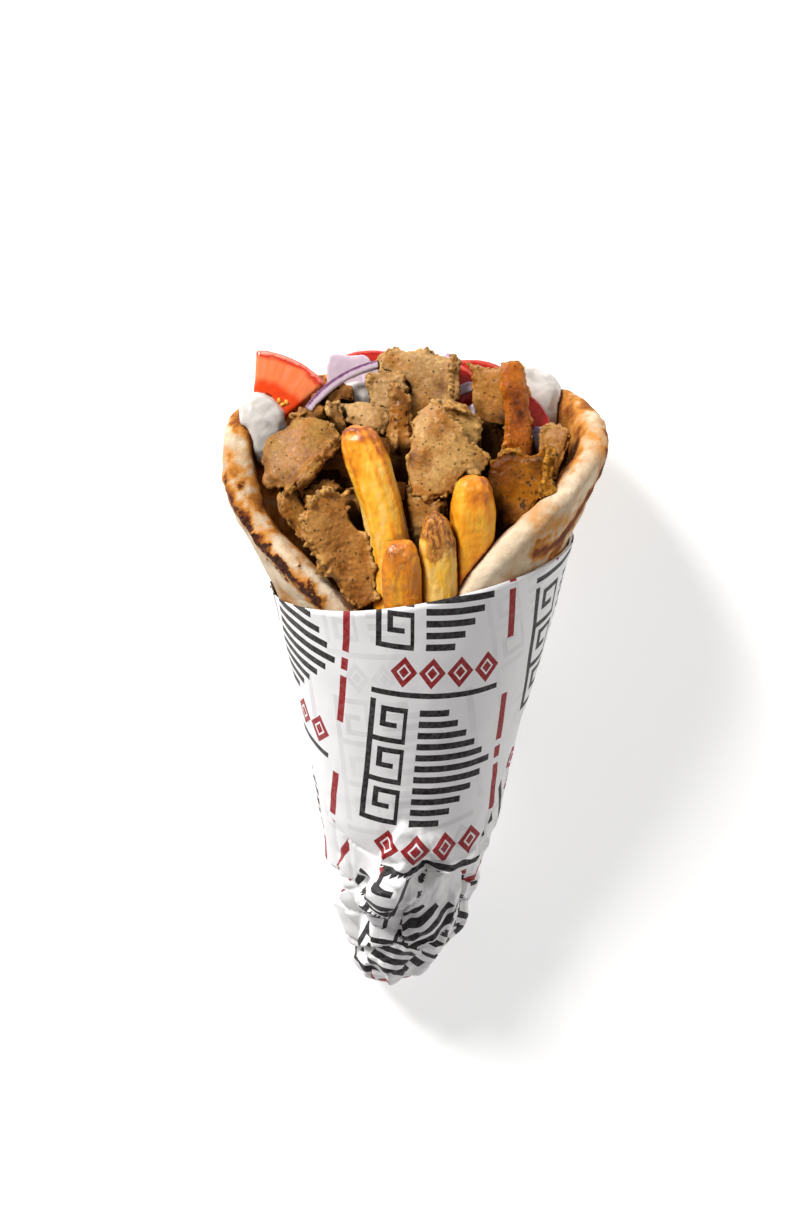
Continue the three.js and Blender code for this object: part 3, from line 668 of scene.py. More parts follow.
@dataclass(frozen=True)
class ShavedMeat(Finish):
    """Meat shaved from a spit: a fine cooked mince with pepper in it, crumbly at its torn edges.

    The cut face is close-grained and a little greasy, so it gives broad soft highlights with small glints,
    and the torn edges are paler and drier.
    """

    pale: str = "#C0965F"
    mid: str = "#A1743E"
    dark: str = "#6C441A"
    torn: str = "#D4A760"
    golden: str = "#AC6A22"
    seared: str = "#94500F"
    roughness: float = 0.5
    grease: float = 0.35
    pepper: float = 1.0
    gloss: float = 0.24

    def mix(self, tree: NodeTree, place: Node) -> dict[str, Input]:
        """Mottled browns, pepper specks, paler torn edges, grain and pits as bump.

        Args:
            tree: the material's nodes.
            place: gives each spot's place in metres.

        Returns:
            The shader's inputs by name.
        """
        torn = add(tree, ATTRIBUTE, attribute_name="torn")
        seared = add(tree, ATTRIBUTE, attribute_name="seared")
        mottle = add(tree, NOISE, {"Vector": place, "Scale": per_mm(0.1), "Detail": 7.0, "Roughness": 0.6})
        colour = add(tree, RAMP, {"Fac": mottle}, ((0.31, self.dark), (0.44, self.mid), (0.58, self.pale)))
        # Fat that has run and browned stains it gold, in patches of about a centimetre.
        stain = add(tree, NOISE, {"Vector": place, "Scale": per_mm(0.075), "Detail": 3.0, "Distortion": 0.6})
        spread = {0: stain, 1: 0.5, 2: 0.7, 3: 0.0, 4: 0.6}
        stained = add(tree, RANGE, spread, interpolation_type="SMOOTHSTEP")
        # The seared mark also holds painted shade in the hollows of the face, which takes the seared colour.
        for share, shade in ((stained, self.golden), (torn, self.torn), (seared, self.seared)):
            colour = add(tree, MIX, {0: share, 6: colour, 7: shade}, data_type="RGBA")
        grain = add(tree, NOISE, {"Vector": place, "Scale": per_mm(0.95), "Detail": 4.0, "Roughness": 0.65})
        light = add(tree, RANGE, {0: grain, 1: 0.32, 2: 0.68, 3: 0.72, 4: 1.18})
        colour = add(tree, MIX, {0: 1.0, 6: colour, 7: light}, data_type="RGBA", blend_type="MULTIPLY")
        # Pepper and herbs: one grain in each cell of 1.5 mm and of 3 mm, most of them too small to show.
        # Their places are shaken by the grain of the meat, which makes them jagged.
        jag = add(tree, VECTOR_MATH, {0: grain, 1: (0.9 * MM,) * 3}, operation="MULTIPLY")
        jagged = add(tree, VECTOR_MATH, {0: place, 1: jag}, operation="ADD")
        for waves, widest, dust in ((0.8, 0.34, "#3E2A12"), (0.36, 0.24, "#2A1B0A")):
            pepper = add(tree, VORONOI, {"Vector": jagged, "Scale": per_mm(waves)})
            chosen = add(tree, "ShaderNodeSeparateColor", {0: pepper.outputs["Color"]})
            rare = add(tree, MATH, {0: chosen, 1: 4.0}, operation="POWER")
            size = add(tree, MATH, {0: rare, 1: widest * self.pepper}, operation="MULTIPLY")
            inside = add(tree, MATH, {0: pepper, 1: size}, operation="LESS_THAN")
            share = add(tree, MATH, {0: inside, 1: 0.85}, operation="MULTIPLY")
            colour = add(tree, MIX, {0: share, 6: colour, 7: dust}, data_type="RGBA")
        # The torn edges break into crumbs of more than a millimetre, with painted shade between them.
        between = add(tree, VORONOI, {"Vector": jagged, "Scale": per_mm(0.72)})
        cells = add(tree, MATH, {0: between, 1: torn}, operation="MULTIPLY")
        gaps = add(tree, RANGE, {0: cells, 1: 0.26, 2: 0.56, 3: 0.0, 4: 0.75})
        colour = add(tree, MIX, {0: gaps, 6: colour, 7: "#5E3309"}, data_type="RGBA")
        pores = add(tree, NOISE, {"Vector": place, "Scale": per_mm(0.7), "Detail": 9.0, "Roughness": 0.72})
        crumbs = add(tree, MATH, {0: cells, 1: -1.3, 2: pores}, operation="MULTIPLY_ADD")
        bump = add(tree, BUMP, {"Strength": 0.42, "Distance": 0.6 * MM, "Height": crumbs})
        wet = {0: stain, 1: 0.4, 2: 0.62, 3: self.roughness + 0.12, 4: self.roughness - 0.16}
        # Beads of fat, less than a millimetre wide, give the glints.
        bead = add(tree, NOISE, {"Vector": place, "Scale": per_mm(0.9), "Detail": 3.0, "Roughness": 0.6})
        beads = add(tree, RANGE, {0: bead, 1: 0.56, 2: 0.64, 3: 0.0, 4: self.grease})
        # Painted shade on the sheen: the sheen and the glints fade out where the gaps shut a spot in.
        shut_in = add(tree, ATTRIBUTE, attribute_name="shut_in")
        reached = add(tree, RANGE, {0: shut_in, 1: 0.3, 2: 0.6, 3: 1.0, 4: 0.06})
        return {
            # Painted shade, near black, where the pieces round it shut it in or it lies deep in the heap.
            "Base Color": self.painted_gap_shade(tree, colour, "#1A0B03", 0.95),
            "Roughness": add(tree, RANGE, wet),
            "Specular IOR Level": add(tree, MATH, {0: reached, 1: self.gloss}, operation="MULTIPLY"),
            "Coat Weight": add(tree, MATH, {0: beads, 1: reached}, operation="MULTIPLY"),
            "Coat Roughness": 0.12,
            "Coat Normal": bump,
            "Normal": bump,
        }


@dataclass(frozen=True)
class FriedPotato(Finish):
    """A hand-cut chip, fried: waxy yellow flesh under a thin golden skin of crust.

    Light goes a little way into the moist potato, so it glows, while the oily crust gives it soft long
    highlights and turns orange-brown at its ends and edges.
    """

    flesh: str = "#F6B833"
    golden: str = "#F0930A"
    crisp: str = "#B95C0E"
    peel: str = "#9A5418"

    def mix(self, tree: NodeTree, place: Node) -> dict[str, Input]:
        """Yellow to orange by how crisp it is, brown where the peel is left on, wrinkles as bump.

        Args:
            tree: the material's nodes.
            place: gives each spot's place in metres.

        Returns:
            The shader's inputs by name.
        """
        crisp = add(tree, ATTRIBUTE, attribute_name="crisp")
        peel = add(tree, ATTRIBUTE, attribute_name="peel")
        # The grain runs along the chips, which stand up: waves are longer along the wrap than across it.
        long = add(tree, MAPPING, {"Vector": place, "Scale": (1.0, 0.35, 1.0)})
        patch = add(tree, NOISE, {"Vector": long, "Scale": per_mm(0.2), "Detail": 5.0, "Roughness": 0.6})
        level = self.broken(tree, crisp, patch, 1.2)
        soft = ((0.0, "#FACC76"), (0.22, self.flesh))
        fries = soft + ((0.48, self.golden), (0.78, self.crisp), (1.0, "#6E320A"))
        fried = add(tree, RAMP, {"Fac": level}, fries)
        scab = {"Vector": long, "Scale": per_mm(0.8), "Detail": 6.0, "Roughness": 0.72, "Distortion": 0.5}
        speckle = add(tree, NOISE, scab)
        cover = {0: self.broken(tree, peel, speckle, 1.6), 1: 0.35, 2: 0.62, 3: 0.0, 4: 0.92}
        shown = add(tree, RANGE, cover, interpolation_type="SMOOTHSTEP")
        skin = add(tree, RAMP, {"Fac": speckle}, ((0.4, "#32150A"), (0.49, self.peel), (0.58, "#D08C3C")))
        colour = add(tree, MIX, {0: shown, 6: fried, 7: skin}, data_type="RGBA")
        wrinkle = add(tree, NOISE, {"Vector": long, "Scale": per_mm(0.7), "Detail": 6.0, "Roughness": 0.65})
        return {
            # Painted shade, brown, where the pieces round the chip shut it in.
            "Base Color": self.painted_gap_shade(tree, colour, "#8A430A", 0.55),
            "Roughness": 0.38,
            "Coat Weight": 0.24,
            "Coat Roughness": 0.14,
            "Specular IOR Level": 0.4,
            "Subsurface Weight": 0.18,
            "Subsurface Radius": (2.6, 1.3, 0.3),
            "Normal": add(tree, BUMP, {"Strength": 0.7, "Distance": 0.7 * MM, "Height": wrinkle}),
        }


@dataclass(frozen=True)
class CutTomato(Finish):
    """A ripe tomato cut across: a shiny skin round firm paler flesh, with wet red pulp inside.

    It is wet, so it gives sharp highlights, and light goes well into it, which keeps its shadows red.
    """

    skin: str = "#C9200F"
    wall: str = "#EA7A42"
    pulp: str = "#DE4206"
    streak_and_rim_highlight: str = "#F0A288"

    def mix(self, tree: NodeTree, place: Node) -> dict[str, Input]:
        """Rings of colour by how far each spot is from the middle of the round, with pale rays and a painted
        highlight along the rim.

        Args:
            tree: the material's nodes.
            place: gives each spot's place in metres.

        Returns:
            The shader's inputs by name.
        """
        reach = add(tree, ATTRIBUTE, attribute_name="reach")
        ray = add(tree, ATTRIBUTE, attribute_name="ray")
        skin = add(tree, ATTRIBUTE, attribute_name="skin")
        wobble = add(tree, NOISE, {"Vector": place, "Scale": per_mm(0.3), "Detail": 4.0, "Roughness": 0.6})
        level = self.broken(tree, reach, wobble, 0.1)
        firm = ((0.3, self.pulp), (0.67, self.pulp), (0.74, self.wall), (0.91, self.wall))
        # The outermost ring of the cut turns pale again: a painted highlight along its edge.
        ringed = add(tree, RAMP, {"Fac": level}, firm + ((0.955, self.skin), (0.985, self.streak_and_rim_highlight)))
        rays = add(tree, NOISE, {"W": ray, "Scale": 85.0, "Detail": 3.0}, noise_dimensions="1D")
        pale = add(tree, RANGE, {0: rays, 1: 0.4, 2: 0.75, 3: 0.0, 4: 0.26})
        # The rays run through the firm wall alone.
        walled = add(tree, RANGE, {0: level, 1: 0.66, 2: 0.8, 3: 0.0, 4: 1.0})
        inside = add(tree, RANGE, {0: level, 1: 0.95, 2: 0.9, 3: 0.0, 4: walled})
        shown = add(tree, MATH, {0: pale, 1: inside}, operation="MULTIPLY")
        cut = add(tree, MIX, {0: shown, 6: ringed, 7: self.streak_and_rim_highlight}, data_type="RGBA")
        return {
            "Base Color": add(tree, MIX, {0: skin, 6: cut, 7: self.skin}, data_type="RGBA"),
            "Roughness": 0.2,
            "Specular IOR Level": 0.5,
            "Subsurface Weight": 0.25,
            "Subsurface Radius": (3.0, 0.8, 0.3),
            "Normal": add(tree, BUMP, {"Strength": 0.3, "Distance": 0.5 * MM, "Height": wobble}),
        }


@dataclass(frozen=True)
class RedOnion(Finish):
    """A layer of red onion: clear white flesh, veined, with purple skin on its outer face and edges.

    It is wet and clear, so it is glossy and light shines through it.
    """

    flesh: str = "#CFBAC6"
    tint: str = "#8F5C85"
    skin: str = "#4E1C48"

    def mix(self, tree: NodeTree, place: Node) -> dict[str, Input]:
        """Pale to purple by how near the skin each spot is, with fine veins.

        Args:
            tree: the material's nodes.
            place: gives each spot's place in metres.

        Returns:
            The shader's inputs by name.
        """
        rind = add(tree, ATTRIBUTE, attribute_name="rind")
        veins = add(tree, NOISE, {"Vector": place, "Scale": per_mm(0.5), "Detail": 4.0, "Roughness": 0.6})
        level = self.broken(tree, rind, veins, 0.35)
        purples = ((0.2, self.flesh), (0.55, self.tint), (1.0, self.skin))
        return {
            "Base Color": add(tree, RAMP, {"Fac": level}, purples),
            "Roughness": 0.25,
            "Subsurface Weight": 0.12,
            "Subsurface Radius": (1.2, 0.9, 1.1),
            "Normal": add(tree, BUMP, {"Strength": 0.2, "Distance": 0.3 * MM, "Height": veins}),
        }


@dataclass(frozen=True)
class YoghurtSauce(Finish):
    """Thick yoghurt sauce, spooned: smooth, white and wet.

    It scatters light deep inside, so it has soft shadows and clear small highlights.
    """

    cream: str = "#D2CCC5"
    shade: str = "#B6ADA5"

    def mix(self, tree: NodeTree, place: Node) -> dict[str, Input]:
        """White with the faintest mottle, glossy, with soft ripples.

        Args:
            tree: the material's nodes.
            place: gives each spot's place in metres.

        Returns:
            The shader's inputs by name.
        """
        swirl = add(tree, NOISE, {"Vector": place, "Scale": per_mm(0.16), "Detail": 2.0, "Distortion": 0.8})
        colour = add(tree, RAMP, {"Fac": swirl}, ((0.35, self.shade), (0.6, self.cream)))
        return {
            # Painted shade, grey, where the pieces round the sauce shut it in.
            "Base Color": self.painted_gap_shade(tree, colour, "#8F857A", 0.4),
            "Roughness": 0.22,
            "Coat Weight": 0.4,
            "Coat Roughness": 0.07,
            "Specular IOR Level": 0.5,
            "Subsurface Weight": 0.3,
            "Subsurface Radius": (2.2, 2.0, 1.8),
            "Normal": add(tree, BUMP, {"Strength": 0.35, "Distance": 0.8 * MM, "Height": swirl}),
        }


Box = tuple[float, float, float, float]

# One turn of a running key as blocks on a grid of eight squares by seven: left, right, bottom, top.
KEY_TURN: tuple[Box, ...] = (
    (0, 1, 0, 7), (0, 7, 6, 7), (6, 7, 2, 7), (3, 7, 2, 3), (3, 4, 2, 5), (0, 8, 0, 1),
)  # fmt: skip


@dataclass(frozen=True)
class PrintedPaper(Finish):
    """Greaseproof wrapping paper, printed in black and dark red with a plain border pattern.

    The paper is thin, bleached and calendered, so it is a cool white with a dull sheen, and the print on the
    layers under it shows through faintly. The ink soaks in unevenly.
    """

    sheet: str = "#EFECEC"
    black: str = "#1B1717"
    red: str = "#960C13"
    ghosted: str = "#8E8889"
    repeat_mm: tuple[float, float] = (58.0, 66.0)
    key_mm: float = 1.95
    key_turns: int = 3
    key_squares: int = 8
    lozenge_mm: float = 9.6
    # How the print and that of the layer below lie on the sheet: moved, turned in degrees, and mirrored.
    print_lies: tuple[Spot, float, bool] = ((31.0, 6.0, 0.0), 4, False)
    ghost_lies: tuple[Spot, float, bool] = ((9.0, 41.0, 0.0), 188, True)

    def block(self, tree: NodeTree, across: Node, up: Node, box: Box) -> Node:
        """Prints a rectangle.

        Args:
            tree: the pattern's nodes.
            across: the place across the print.
            up: the place up the print.
            box: the rectangle's left, right, bottom and top.

        Returns:
            1 inside it and 0 outside.
        """
        left, right, bottom, top = box
        sides = {0: across, 1: (left + right) / 2, 2: (right - left) / 2}
        ends = {0: up, 1: (bottom + top) / 2, 2: (top - bottom) / 2}
        wide, tall = (add(tree, MATH, span, operation="COMPARE") for span in (sides, ends))
        return add(tree, MATH, {0: wide, 1: tall}, operation="MULTIPLY")

    def together(self, tree: NodeTree, marks: list[Node]) -> Node:
        """All of some marks, printed in one ink.

        Args:
            tree: the material's nodes.
            marks: where each is printed, from 0 to 1.

        Returns:
            Where any of them is.
        """
        whole = marks[0]
        for mark in marks[1:]:
            whole = add(tree, MATH, {0: whole, 1: mark}, operation="MAXIMUM")
        return whole

    def drawn(self, name: str) -> NodeTree:
        """The printed pattern as a group of nodes, from a place on the flat sheet to its share of each ink.

        Args:
            name: the group's name.

        Returns:
            The group, with a Place input in millimetres and Black and Red outputs.
        """
        tree = bpy.data.node_groups.new(name, "ShaderNodeTree")
        tree.interface.new_socket("Place", in_out="INPUT", socket_type="NodeSocketVector")
        for ink in ("Black", "Red"):
            tree.interface.new_socket(ink, in_out="OUTPUT", socket_type="NodeSocketFloat")
        flat = add(tree, "ShaderNodeSeparateXYZ", {0: add(tree, "NodeGroupInput")}).outputs
        wide, tall = self.repeat_mm

        # Each column of the repeat is half a repeat higher than the last.
        across = add(tree, MATH, {0: flat[0], 1: wide}, operation="FLOORED_MODULO")
        part = add(tree, MATH, {0: flat[0], 1: wide}, operation="DIVIDE")
        column = add(tree, MATH, {0: part}, operation="FLOOR")
        higher = add(tree, MATH, {0: column, 1: tall / 2, 2: flat[1]}, operation="MULTIPLY_ADD")
        up = add(tree, MATH, {0: higher, 1: tall}, operation="FLOORED_MODULO")

        # A column of running keys.
        squares = add(tree, MATH, {0: up, 1: self.key_mm}, operation="DIVIDE")
        along = add(tree, MATH, {0: squares, 1: self.key_squares}, operation="FLOORED_MODULO")
        inset = add(tree, MATH, {0: across, 1: 4.0}, operation="SUBTRACT")
        over = add(tree, MATH, {0: inset, 1: self.key_mm}, operation="DIVIDE")
        turn = self.together(tree, [self.block(tree, along, over, box) for box in KEY_TURN])
        height = self.key_turns * self.key_squares * self.key_mm
        window = self.block(tree, across, up, (3.9, 17, 0.0, height))
        keys = add(tree, MATH, {0: turn, 1: window}, operation="MULTIPLY")

        # Stepped bars, the middle pair the longest, stacked beside the keys, and a rail over both.
        boxes = [(21, 48 - 3.4 * abs(5 - step), 0.2 + 4.2 * step, 2.6 + 4.2 * step) for step in range(11)]
        bars = [self.block(tree, across, up, box) for box in boxes + [(4, 48, 48.8, 50.8)]]

        # A row of lozenges above them, each a ring round a filled middle.
        cell = add(tree, MATH, {0: across, 1: self.lozenge_mm}, operation="FLOORED_MODULO")
        step = add(tree, MATH, {0: cell, 1: self.lozenge_mm / 2}, operation="SUBTRACT")
        aside = add(tree, MATH, {0: step}, operation="ABSOLUTE")
        rise = add(tree, MATH, {0: up, 1: 58.0}, operation="SUBTRACT")
        away = add(tree, MATH, {0: rise}, operation="ABSOLUTE")
        slant = add(tree, MATH, {0: away, 1: 0.8, 2: aside}, operation="MULTIPLY_ADD")
        ring = add(tree, MATH, {0: slant, 1: 3.5, 2: 1.05}, operation="COMPARE")
        heart = add(tree, MATH, {0: slant, 1: 1.7}, operation="LESS_THAN")
        strip = self.block(tree, across, up, (self.lozenge_mm, 48, 52, 64))
        chain = add(tree, MATH, {0: self.together(tree, [ring, heart]), 1: strip}, operation="MULTIPLY")

        # Red posts at the side of the repeat.
        spans = ((0.2, 18), (20.5, 25), (27.5, 45.3))
        posts = [self.block(tree, across, up, (50.5, 53.0, *span)) for span in spans]
        inks = {"Black": self.together(tree, [keys] + bars), "Red": self.together(tree, [chain] + posts)}
        add(tree, "NodeGroupOutput", inks)
        return tree

    def mix(self, tree: NodeTree, place: Node) -> dict[str, Input]:
        """Print on the sheet, a ghost of the print below, worn ink, and fine creases as bump.

        Args:
            tree: the material's nodes.
            place: gives each spot's place in metres.

        Returns:
            The shader's inputs by name.
        """
        pattern = self.drawn("border_print")
        sheet = add(tree, "ShaderNodeUVMap", uv_map="flat_sheet")
        prints = []
        for location, degrees, mirrored in (self.print_lies, self.ghost_lies):
            # The map holds decimetres.
            scale = (-100.0 if mirrored else 100.0, 100.0, 1.0)
            lay = {"Location": location, "Rotation": (0, 0, math.radians(degrees)), "Scale": scale}
            laid = {"Place": add(tree, MAPPING, {"Vector": sheet} | lay)}
            prints.append(add(tree, "ShaderNodeGroup", laid, node_tree=pattern).outputs)
        ink, ghost = prints
        soak = add(tree, NOISE, {"Vector": place, "Scale": per_mm(0.7), "Detail": 5.0})
        cover = add(tree, RANGE, {0: soak, 1: 0.35, 2: 0.7, 3: 1.0, 4: 0.93})
        cloud = add(tree, NOISE, {"Vector": place, "Scale": per_mm(0.03), "Detail": 3.0})
        showing = add(tree, RANGE, {0: cloud, 1: 0.4, 2: 0.6, 3: 0.0, 4: 0.22})
        under = add(tree, MATH, {0: ghost["Black"], 1: ghost["Red"]}, operation="MAXIMUM")
        faint = add(tree, MATH, {0: under, 1: showing}, operation="MULTIPLY")
        colour = add(tree, MIX, {0: faint, 6: self.sheet, 7: self.ghosted}, data_type="RGBA")
        for name, shade in (("Red", self.red), ("Black", self.black)):
            share = add(tree, MATH, {0: ink[name], 1: cover}, operation="MULTIPLY")
            colour = add(tree, MIX, {0: share, 6: colour, 7: shade}, data_type="RGBA")
        crease = add(tree, NOISE, {"Vector": place, "Scale": per_mm(0.12), "Detail": 6.0})
        return {
            "Base Color": colour,
            "Roughness": 0.52,
            "Specular IOR Level": 0.25,
            "Normal": add(tree, BUMP, {"Strength": 0.25, "Distance": 1.0 * MM, "Height": crease}),
        }


@dataclass(frozen=True)
class Fleck(Finish):
    """Crumbled food in flecks of two tones: dull for dried leaves, shiny for seeds, wet with their gel."""

    tones: Stops
    waves: float
    roughness: float

    def mix(self, tree: NodeTree, place: Node) -> dict[str, Input]:
        """One tone or the other from fleck to fleck."""
        vary = add(tree, NOISE, {"Vector": place, "Scale": per_mm(self.waves), "Detail": 2.0})
        return {"Base Color": add(tree, RAMP, {"Fac": vary}, self.tones), "Roughness": self.roughness}


DRIED_HERB = Fleck("dried_oregano", ((0.35, "#2E2412"), (0.65, "#5C4A20")), 0.25, 0.7)
TOMATO_SEED = Fleck("tomato_seed", ((0.3, "#E8902A"), (0.7, "#F3B445")), 0.8, 0.2)


@dataclass(frozen=True)
class StudioFloor(Finish):
    """Matt white studio paper under the wrap, lit evenly enough to look plain."""

    shade: str = "#F4F3F2"

    def mix(self, tree: NodeTree, place: Node) -> dict[str, Input]:
        """Plain and matt, with the faintest tooth.

        Args:
            tree: the material's nodes.
            place: gives each spot's place in metres.

        Returns:
            The shader's inputs by name.
        """
        tooth = add(tree, NOISE, {"Vector": place, "Scale": per_mm(0.5), "Detail": 2.0})
        return {
            "Base Color": self.shade,
            "Roughness": 0.9,
            "Emission Color": (1, 1, 1, 1),
            "Emission Strength": 0.42,
            "Normal": add(tree, BUMP, {"Strength": 0.05, "Distance": 0.2 * MM, "Height": tooth}),
        }


# ---- The food -------------------------------------------------------------------------------------

# The middle line of the wrap: heights, and how far to the right it is there.
MIDDLE: Path = (
    (-140, -4.5), (-125, -4.5), (-114, -0.7), (-92, 1.2), (-70, 2.1), (-18, 2.9), (3, 3.2), (25, 1.8),
    (53, 3.8),
)  # fmt: skip


def rim_share(surface: Surface, rounds: int) -> np.ndarray:
    """How near each point is to an outward edge of its piece.

    Args:
        surface: the piece.
        rounds: how far the edges spread, in steps from point to point.

    Returns:
        From 0 on flat faces to about 1 along the edges.
    """
    mesh = surface.piece.data
    ends = np.empty(len(mesh.edges) * 2, int)
    mesh.edges.foreach_get("vertices", ends)
    one, other = ends.reshape(-1, 2).T
    count = len(surface.points)
    near = np.bincount(ends, minlength=count)
    apart = surface.points[other] - surface.points[one]
    ways = unit(surface.normals)
    bend = dots(apart, ways[other] - ways[one]) / np.maximum(dots(apart, apart), 1e-9)
    share = np.clip((np.bincount(one, bend, count) + np.bincount(other, bend, count)) / near, 0, 1)
    for _ in range(rounds):
        spread = np.bincount(one, share[other], count) + np.bincount(other, share[one], count)
        share = 0.35 * share + 0.65 * spread / near
    return np.clip(share / max(np.percentile(share, 96), 1e-6), 0, 1)


def axis_middle(heights: np.ndarray) -> np.ndarray:
    """The middle line of the wrap at some heights: its sideways place."""
    return along_rows(MIDDLE, heights)


@dataclass(frozen=True)
class Portion:
    """One piece of food: its node, and how often it is smoothed, if not as the others of its sort are."""

    node: str
    rounds: int | None = field(default=None, kw_only=True)


@dataclass
class Food:
    """Food of one sort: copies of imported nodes, each roughened, marked and given its finish."""

    name: str
    cell_mm: float
    rounds: int
    seed: int
    portions: tuple[Portion, ...]

    def build(self, frame: dict, crevices: Crevices) -> list[Object]:
        """Builds every portion.

        Args:
            frame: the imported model.
            crevices: how shut in each spot of the food is.

        Returns:
            The pieces.
        """
        pieces = []
        for number, portion in enumerate(self.portions):
            name = self.name.format(portion.node)
            piece = rebuilt(frame, portion.node, name, self.cell_mm, portion.rounds or self.rounds)
            self.dress(Surface(piece), portion, Grain(self.seed + number), crevices)
            pieces.append(piece)
        return pieces

    def dress(self, surface: Surface, portion: Portion, grain: Grain, crevices: Crevices) -> None:
        """Shapes a portion's surface, marks it for its material, and gives it that.

        Args:
            surface: the piece.
            portion: what it is.
            grain: its own noise.
            crevices: how shut in each spot of the food is.
        """
        raise NotImplementedError


@dataclass(frozen=True)
class Mark:
    """A spot that the griddle left on the bread: where, how wide, and how baked and charred it is."""

    spot: Spot
    reach: float
    baked: float
    charred: float = 0.0


@dataclass
class Bread(Food):
    """The flatbread, folded into a cone with two flaps that part at the front."""

    name: str = "baked_bread"
    cell_mm: float = 1.0
    rounds: int = 16
    seed: int = 11
    portions: tuple[Portion, ...] = (Portion("bread"),)
    paper_edge: tuple[float, float] = (17.0, 8.0)
    # The charred seam along the left flap: angle in degrees from the front, and height.
    seam: Path = (
        (-83, 43.0), (-77, 36.6), (-71.2, 32.6), (-65.9, 29.0), (-61.4, 24.8), (-56.2, 20.8), (-49.8, 18.0),
        (-44.4, 15.2), (-40.8, 12.5),
    )  # fmt: skip
    seam_width: Path = ((12, 1.7), (24, 1.8), (34, 0.95), (43, 0.5))
    # The toasted band along the right flap, in the same way.
    band: Path = ((50, 27.0), (60, 28.0), (68, 30.5), (74, 36.0), (80, 44.0), (84, 51.0), (88, 56.5))
    marks: tuple[Mark, ...] = (
        Mark((-50.5, 4.7, 61.1), 4.5, 0.7, 0.25),
        Mark((-51.0, -9.3, 43.7), 2.2, 0.6, 0.75),
        Mark((-53.5, -6.6, 47.7), 4.2, 0.42, 0.1),
        Mark((-45.6, 7.0, 46.8), 7.0, 0.6),
        Mark((-46.8, 3.7, 54.3), 5.0, 0.5),
        Mark((-44.3, -9.0, 38.7), 4.5, 0.6, 0.25),
        Mark((-41.0, -17.0, 29.0), 3.5, 0.5, 0.3),
        Mark((-37.0, -16.0, 27.0), 4.0, 0.5),
        Mark((-31.5, -19.5, 24.0), 4.5, 0.45),
        Mark((-25.5, -23.6, 20.2), 4.0, 0.5),
        Mark((-45.6, -6.7, 44.5), 3.5, 0.55),
        Mark((-42.0, -10.0, 36.0), 4.0, 0.55),
        Mark((-49.1, 1.6, 58.2), 4.5, 0.5),
        Mark((58.2, 14.1, 62.7), 4.6, 0.65, 0.15),
        Mark((57.1, -4.6, 58.4), 3.8, 0.5, 0.1),
        Mark((50.0, -14.2, 51.6), 4.4, 0.5, 0.1),
        Mark((51.9, 11.9, 58.4), 8.0, 0.42),
        Mark((47.6, 21.9, 62.1), 8.0, 0.5, 0.1),
        Mark((42.7, -27.0, 28.5), 5.0, 0.6, 0.25),
        Mark((47.7, -18.8, 27.3), 5.5, 0.65, 0.4),
        Mark((52.4, -15.4, 34.3), 4.5, 0.6, 0.3),
        Mark((61.8, -7.0, 51.1), 4.2, 0.6, 0.3),
        Mark((57.8, -4.7, 58.4), 12.0, 0.26),
        Mark((59.9, -11.0, 55.5), 7.0, 0.3),
        Mark((25.0, 36.0, 70.0), 4.0, 0.8, 0.6),
        Mark((34.0, 33.0, 68.0), 4.0, 0.8, 0.55),
        Mark((-28.0, 33.0, 68.0), 4.0, 0.8, 0.5),
    )

    def dress(self, surface: Surface, portion: Portion, grain: Grain, crevices: Crevices) -> None:
        """Lumps and blisters above the paper, a crusty seam, and bake marks.

        Args:
            surface: the piece.
            portion: what it is.
            grain: its own noise.
            crevices: how shut in each spot of the food is.
        """
        seam, band = self.spots_on(surface, self.seam), self.spots_on(surface, self.band)
        at = surface.points
        edge = self.paper_edge[0] + self.paper_edge[1] * np.sin(np.arctan2(at[:, 0], -at[:, 1]))
        free = smooth(at[:, 2], edge.min() - 3, edge.max() + 3)
        lumps = 0.6 * grain.layers(at, 13, 2) + 0.36 * grain.layers(at + 50, 4.0, 2)
        blisters = 0.5 * grain.pits(at + 9, 9, 0.42)
        crust = 0.4 + 0.9 * grain.layers(at, 2.8, 2) + 0.7 * grain.pits(at, 3, 0.4)
        surface.push(free * (lumps + blisters) + bell(self.distance(at, seam) / 2.0) * crust)
        self.bake(surface, grain, seam, band)
        crevices.mark(surface, 0, rays=FEW_RAYS)
        finished(surface.piece, BakedFlatbread("baked_flatbread"))

    def bake(self, surface: Surface, grain: Grain, seam: np.ndarray, band: np.ndarray) -> None:
        """Marks how baked and how charred each spot is.

        Args:
            surface: the bread.
            grain: its noise.
            seam: places along the charred seam.
            band: places along the toasted band.
        """
        at = surface.points
        uneven = grain.layers(at + 30, 4, 3)
        patchy = grain.layers(at + 80, 9, 2)
        fine = grain.layers(at + 60, 2.2, 1)
        apart = self.distance(at, seam)
        width = along_rows(self.seam_width, at[:, 2])
        charred = 0.95 * smooth(apart / width + uneven + 1.1 * patchy + 1.5 * fine, 1.9, 0.5)
        baked = 0.6 * smooth(apart + 2.6 * uneven + 1.5 * fine, 5.0, 0.8)
        apart = self.distance(at, band)
        charred = np.maximum(charred, 0.5 * smooth(apart + 2.4 * uneven + 2.0 * patchy, 2.2, 0))
        baked = np.maximum(baked, 0.8 * smooth(apart + 2.6 * uneven + 1.5 * patchy, 5.0, 0.6))
        # The inner face, turned away from the light, is browned all over: partly toast, partly painted shade.
        middle = np.stack([axis_middle(at[:, 2]), np.zeros(len(at)), at[:, 2]], axis=1)
        inward = smooth(-dots(surface.normals, unit(at - middle)), 0.1, 0.75)
        baked = np.maximum(baked, inward * (0.46 + 0.3 * patchy + 0.2 * uneven))
        for mark in self.marks:
            near = length(at - np.array(mark.spot))[:, 0] * (1 + 0.8 * uneven + 0.5 * fine)
            baked = np.maximum(baked, mark.baked * smooth(near, mark.reach * 1.5, mark.reach * 0.3))
            charred = np.maximum(charred, mark.charred * smooth(near, mark.reach, mark.reach * 0.2))
        dapple = smooth(grain.layers(at, 15, 3), -0.1, 0.5)
        surface.mark("baked", np.maximum(baked, 0.3 * dapple) + 0.04)
        surface.mark("charred", charred)

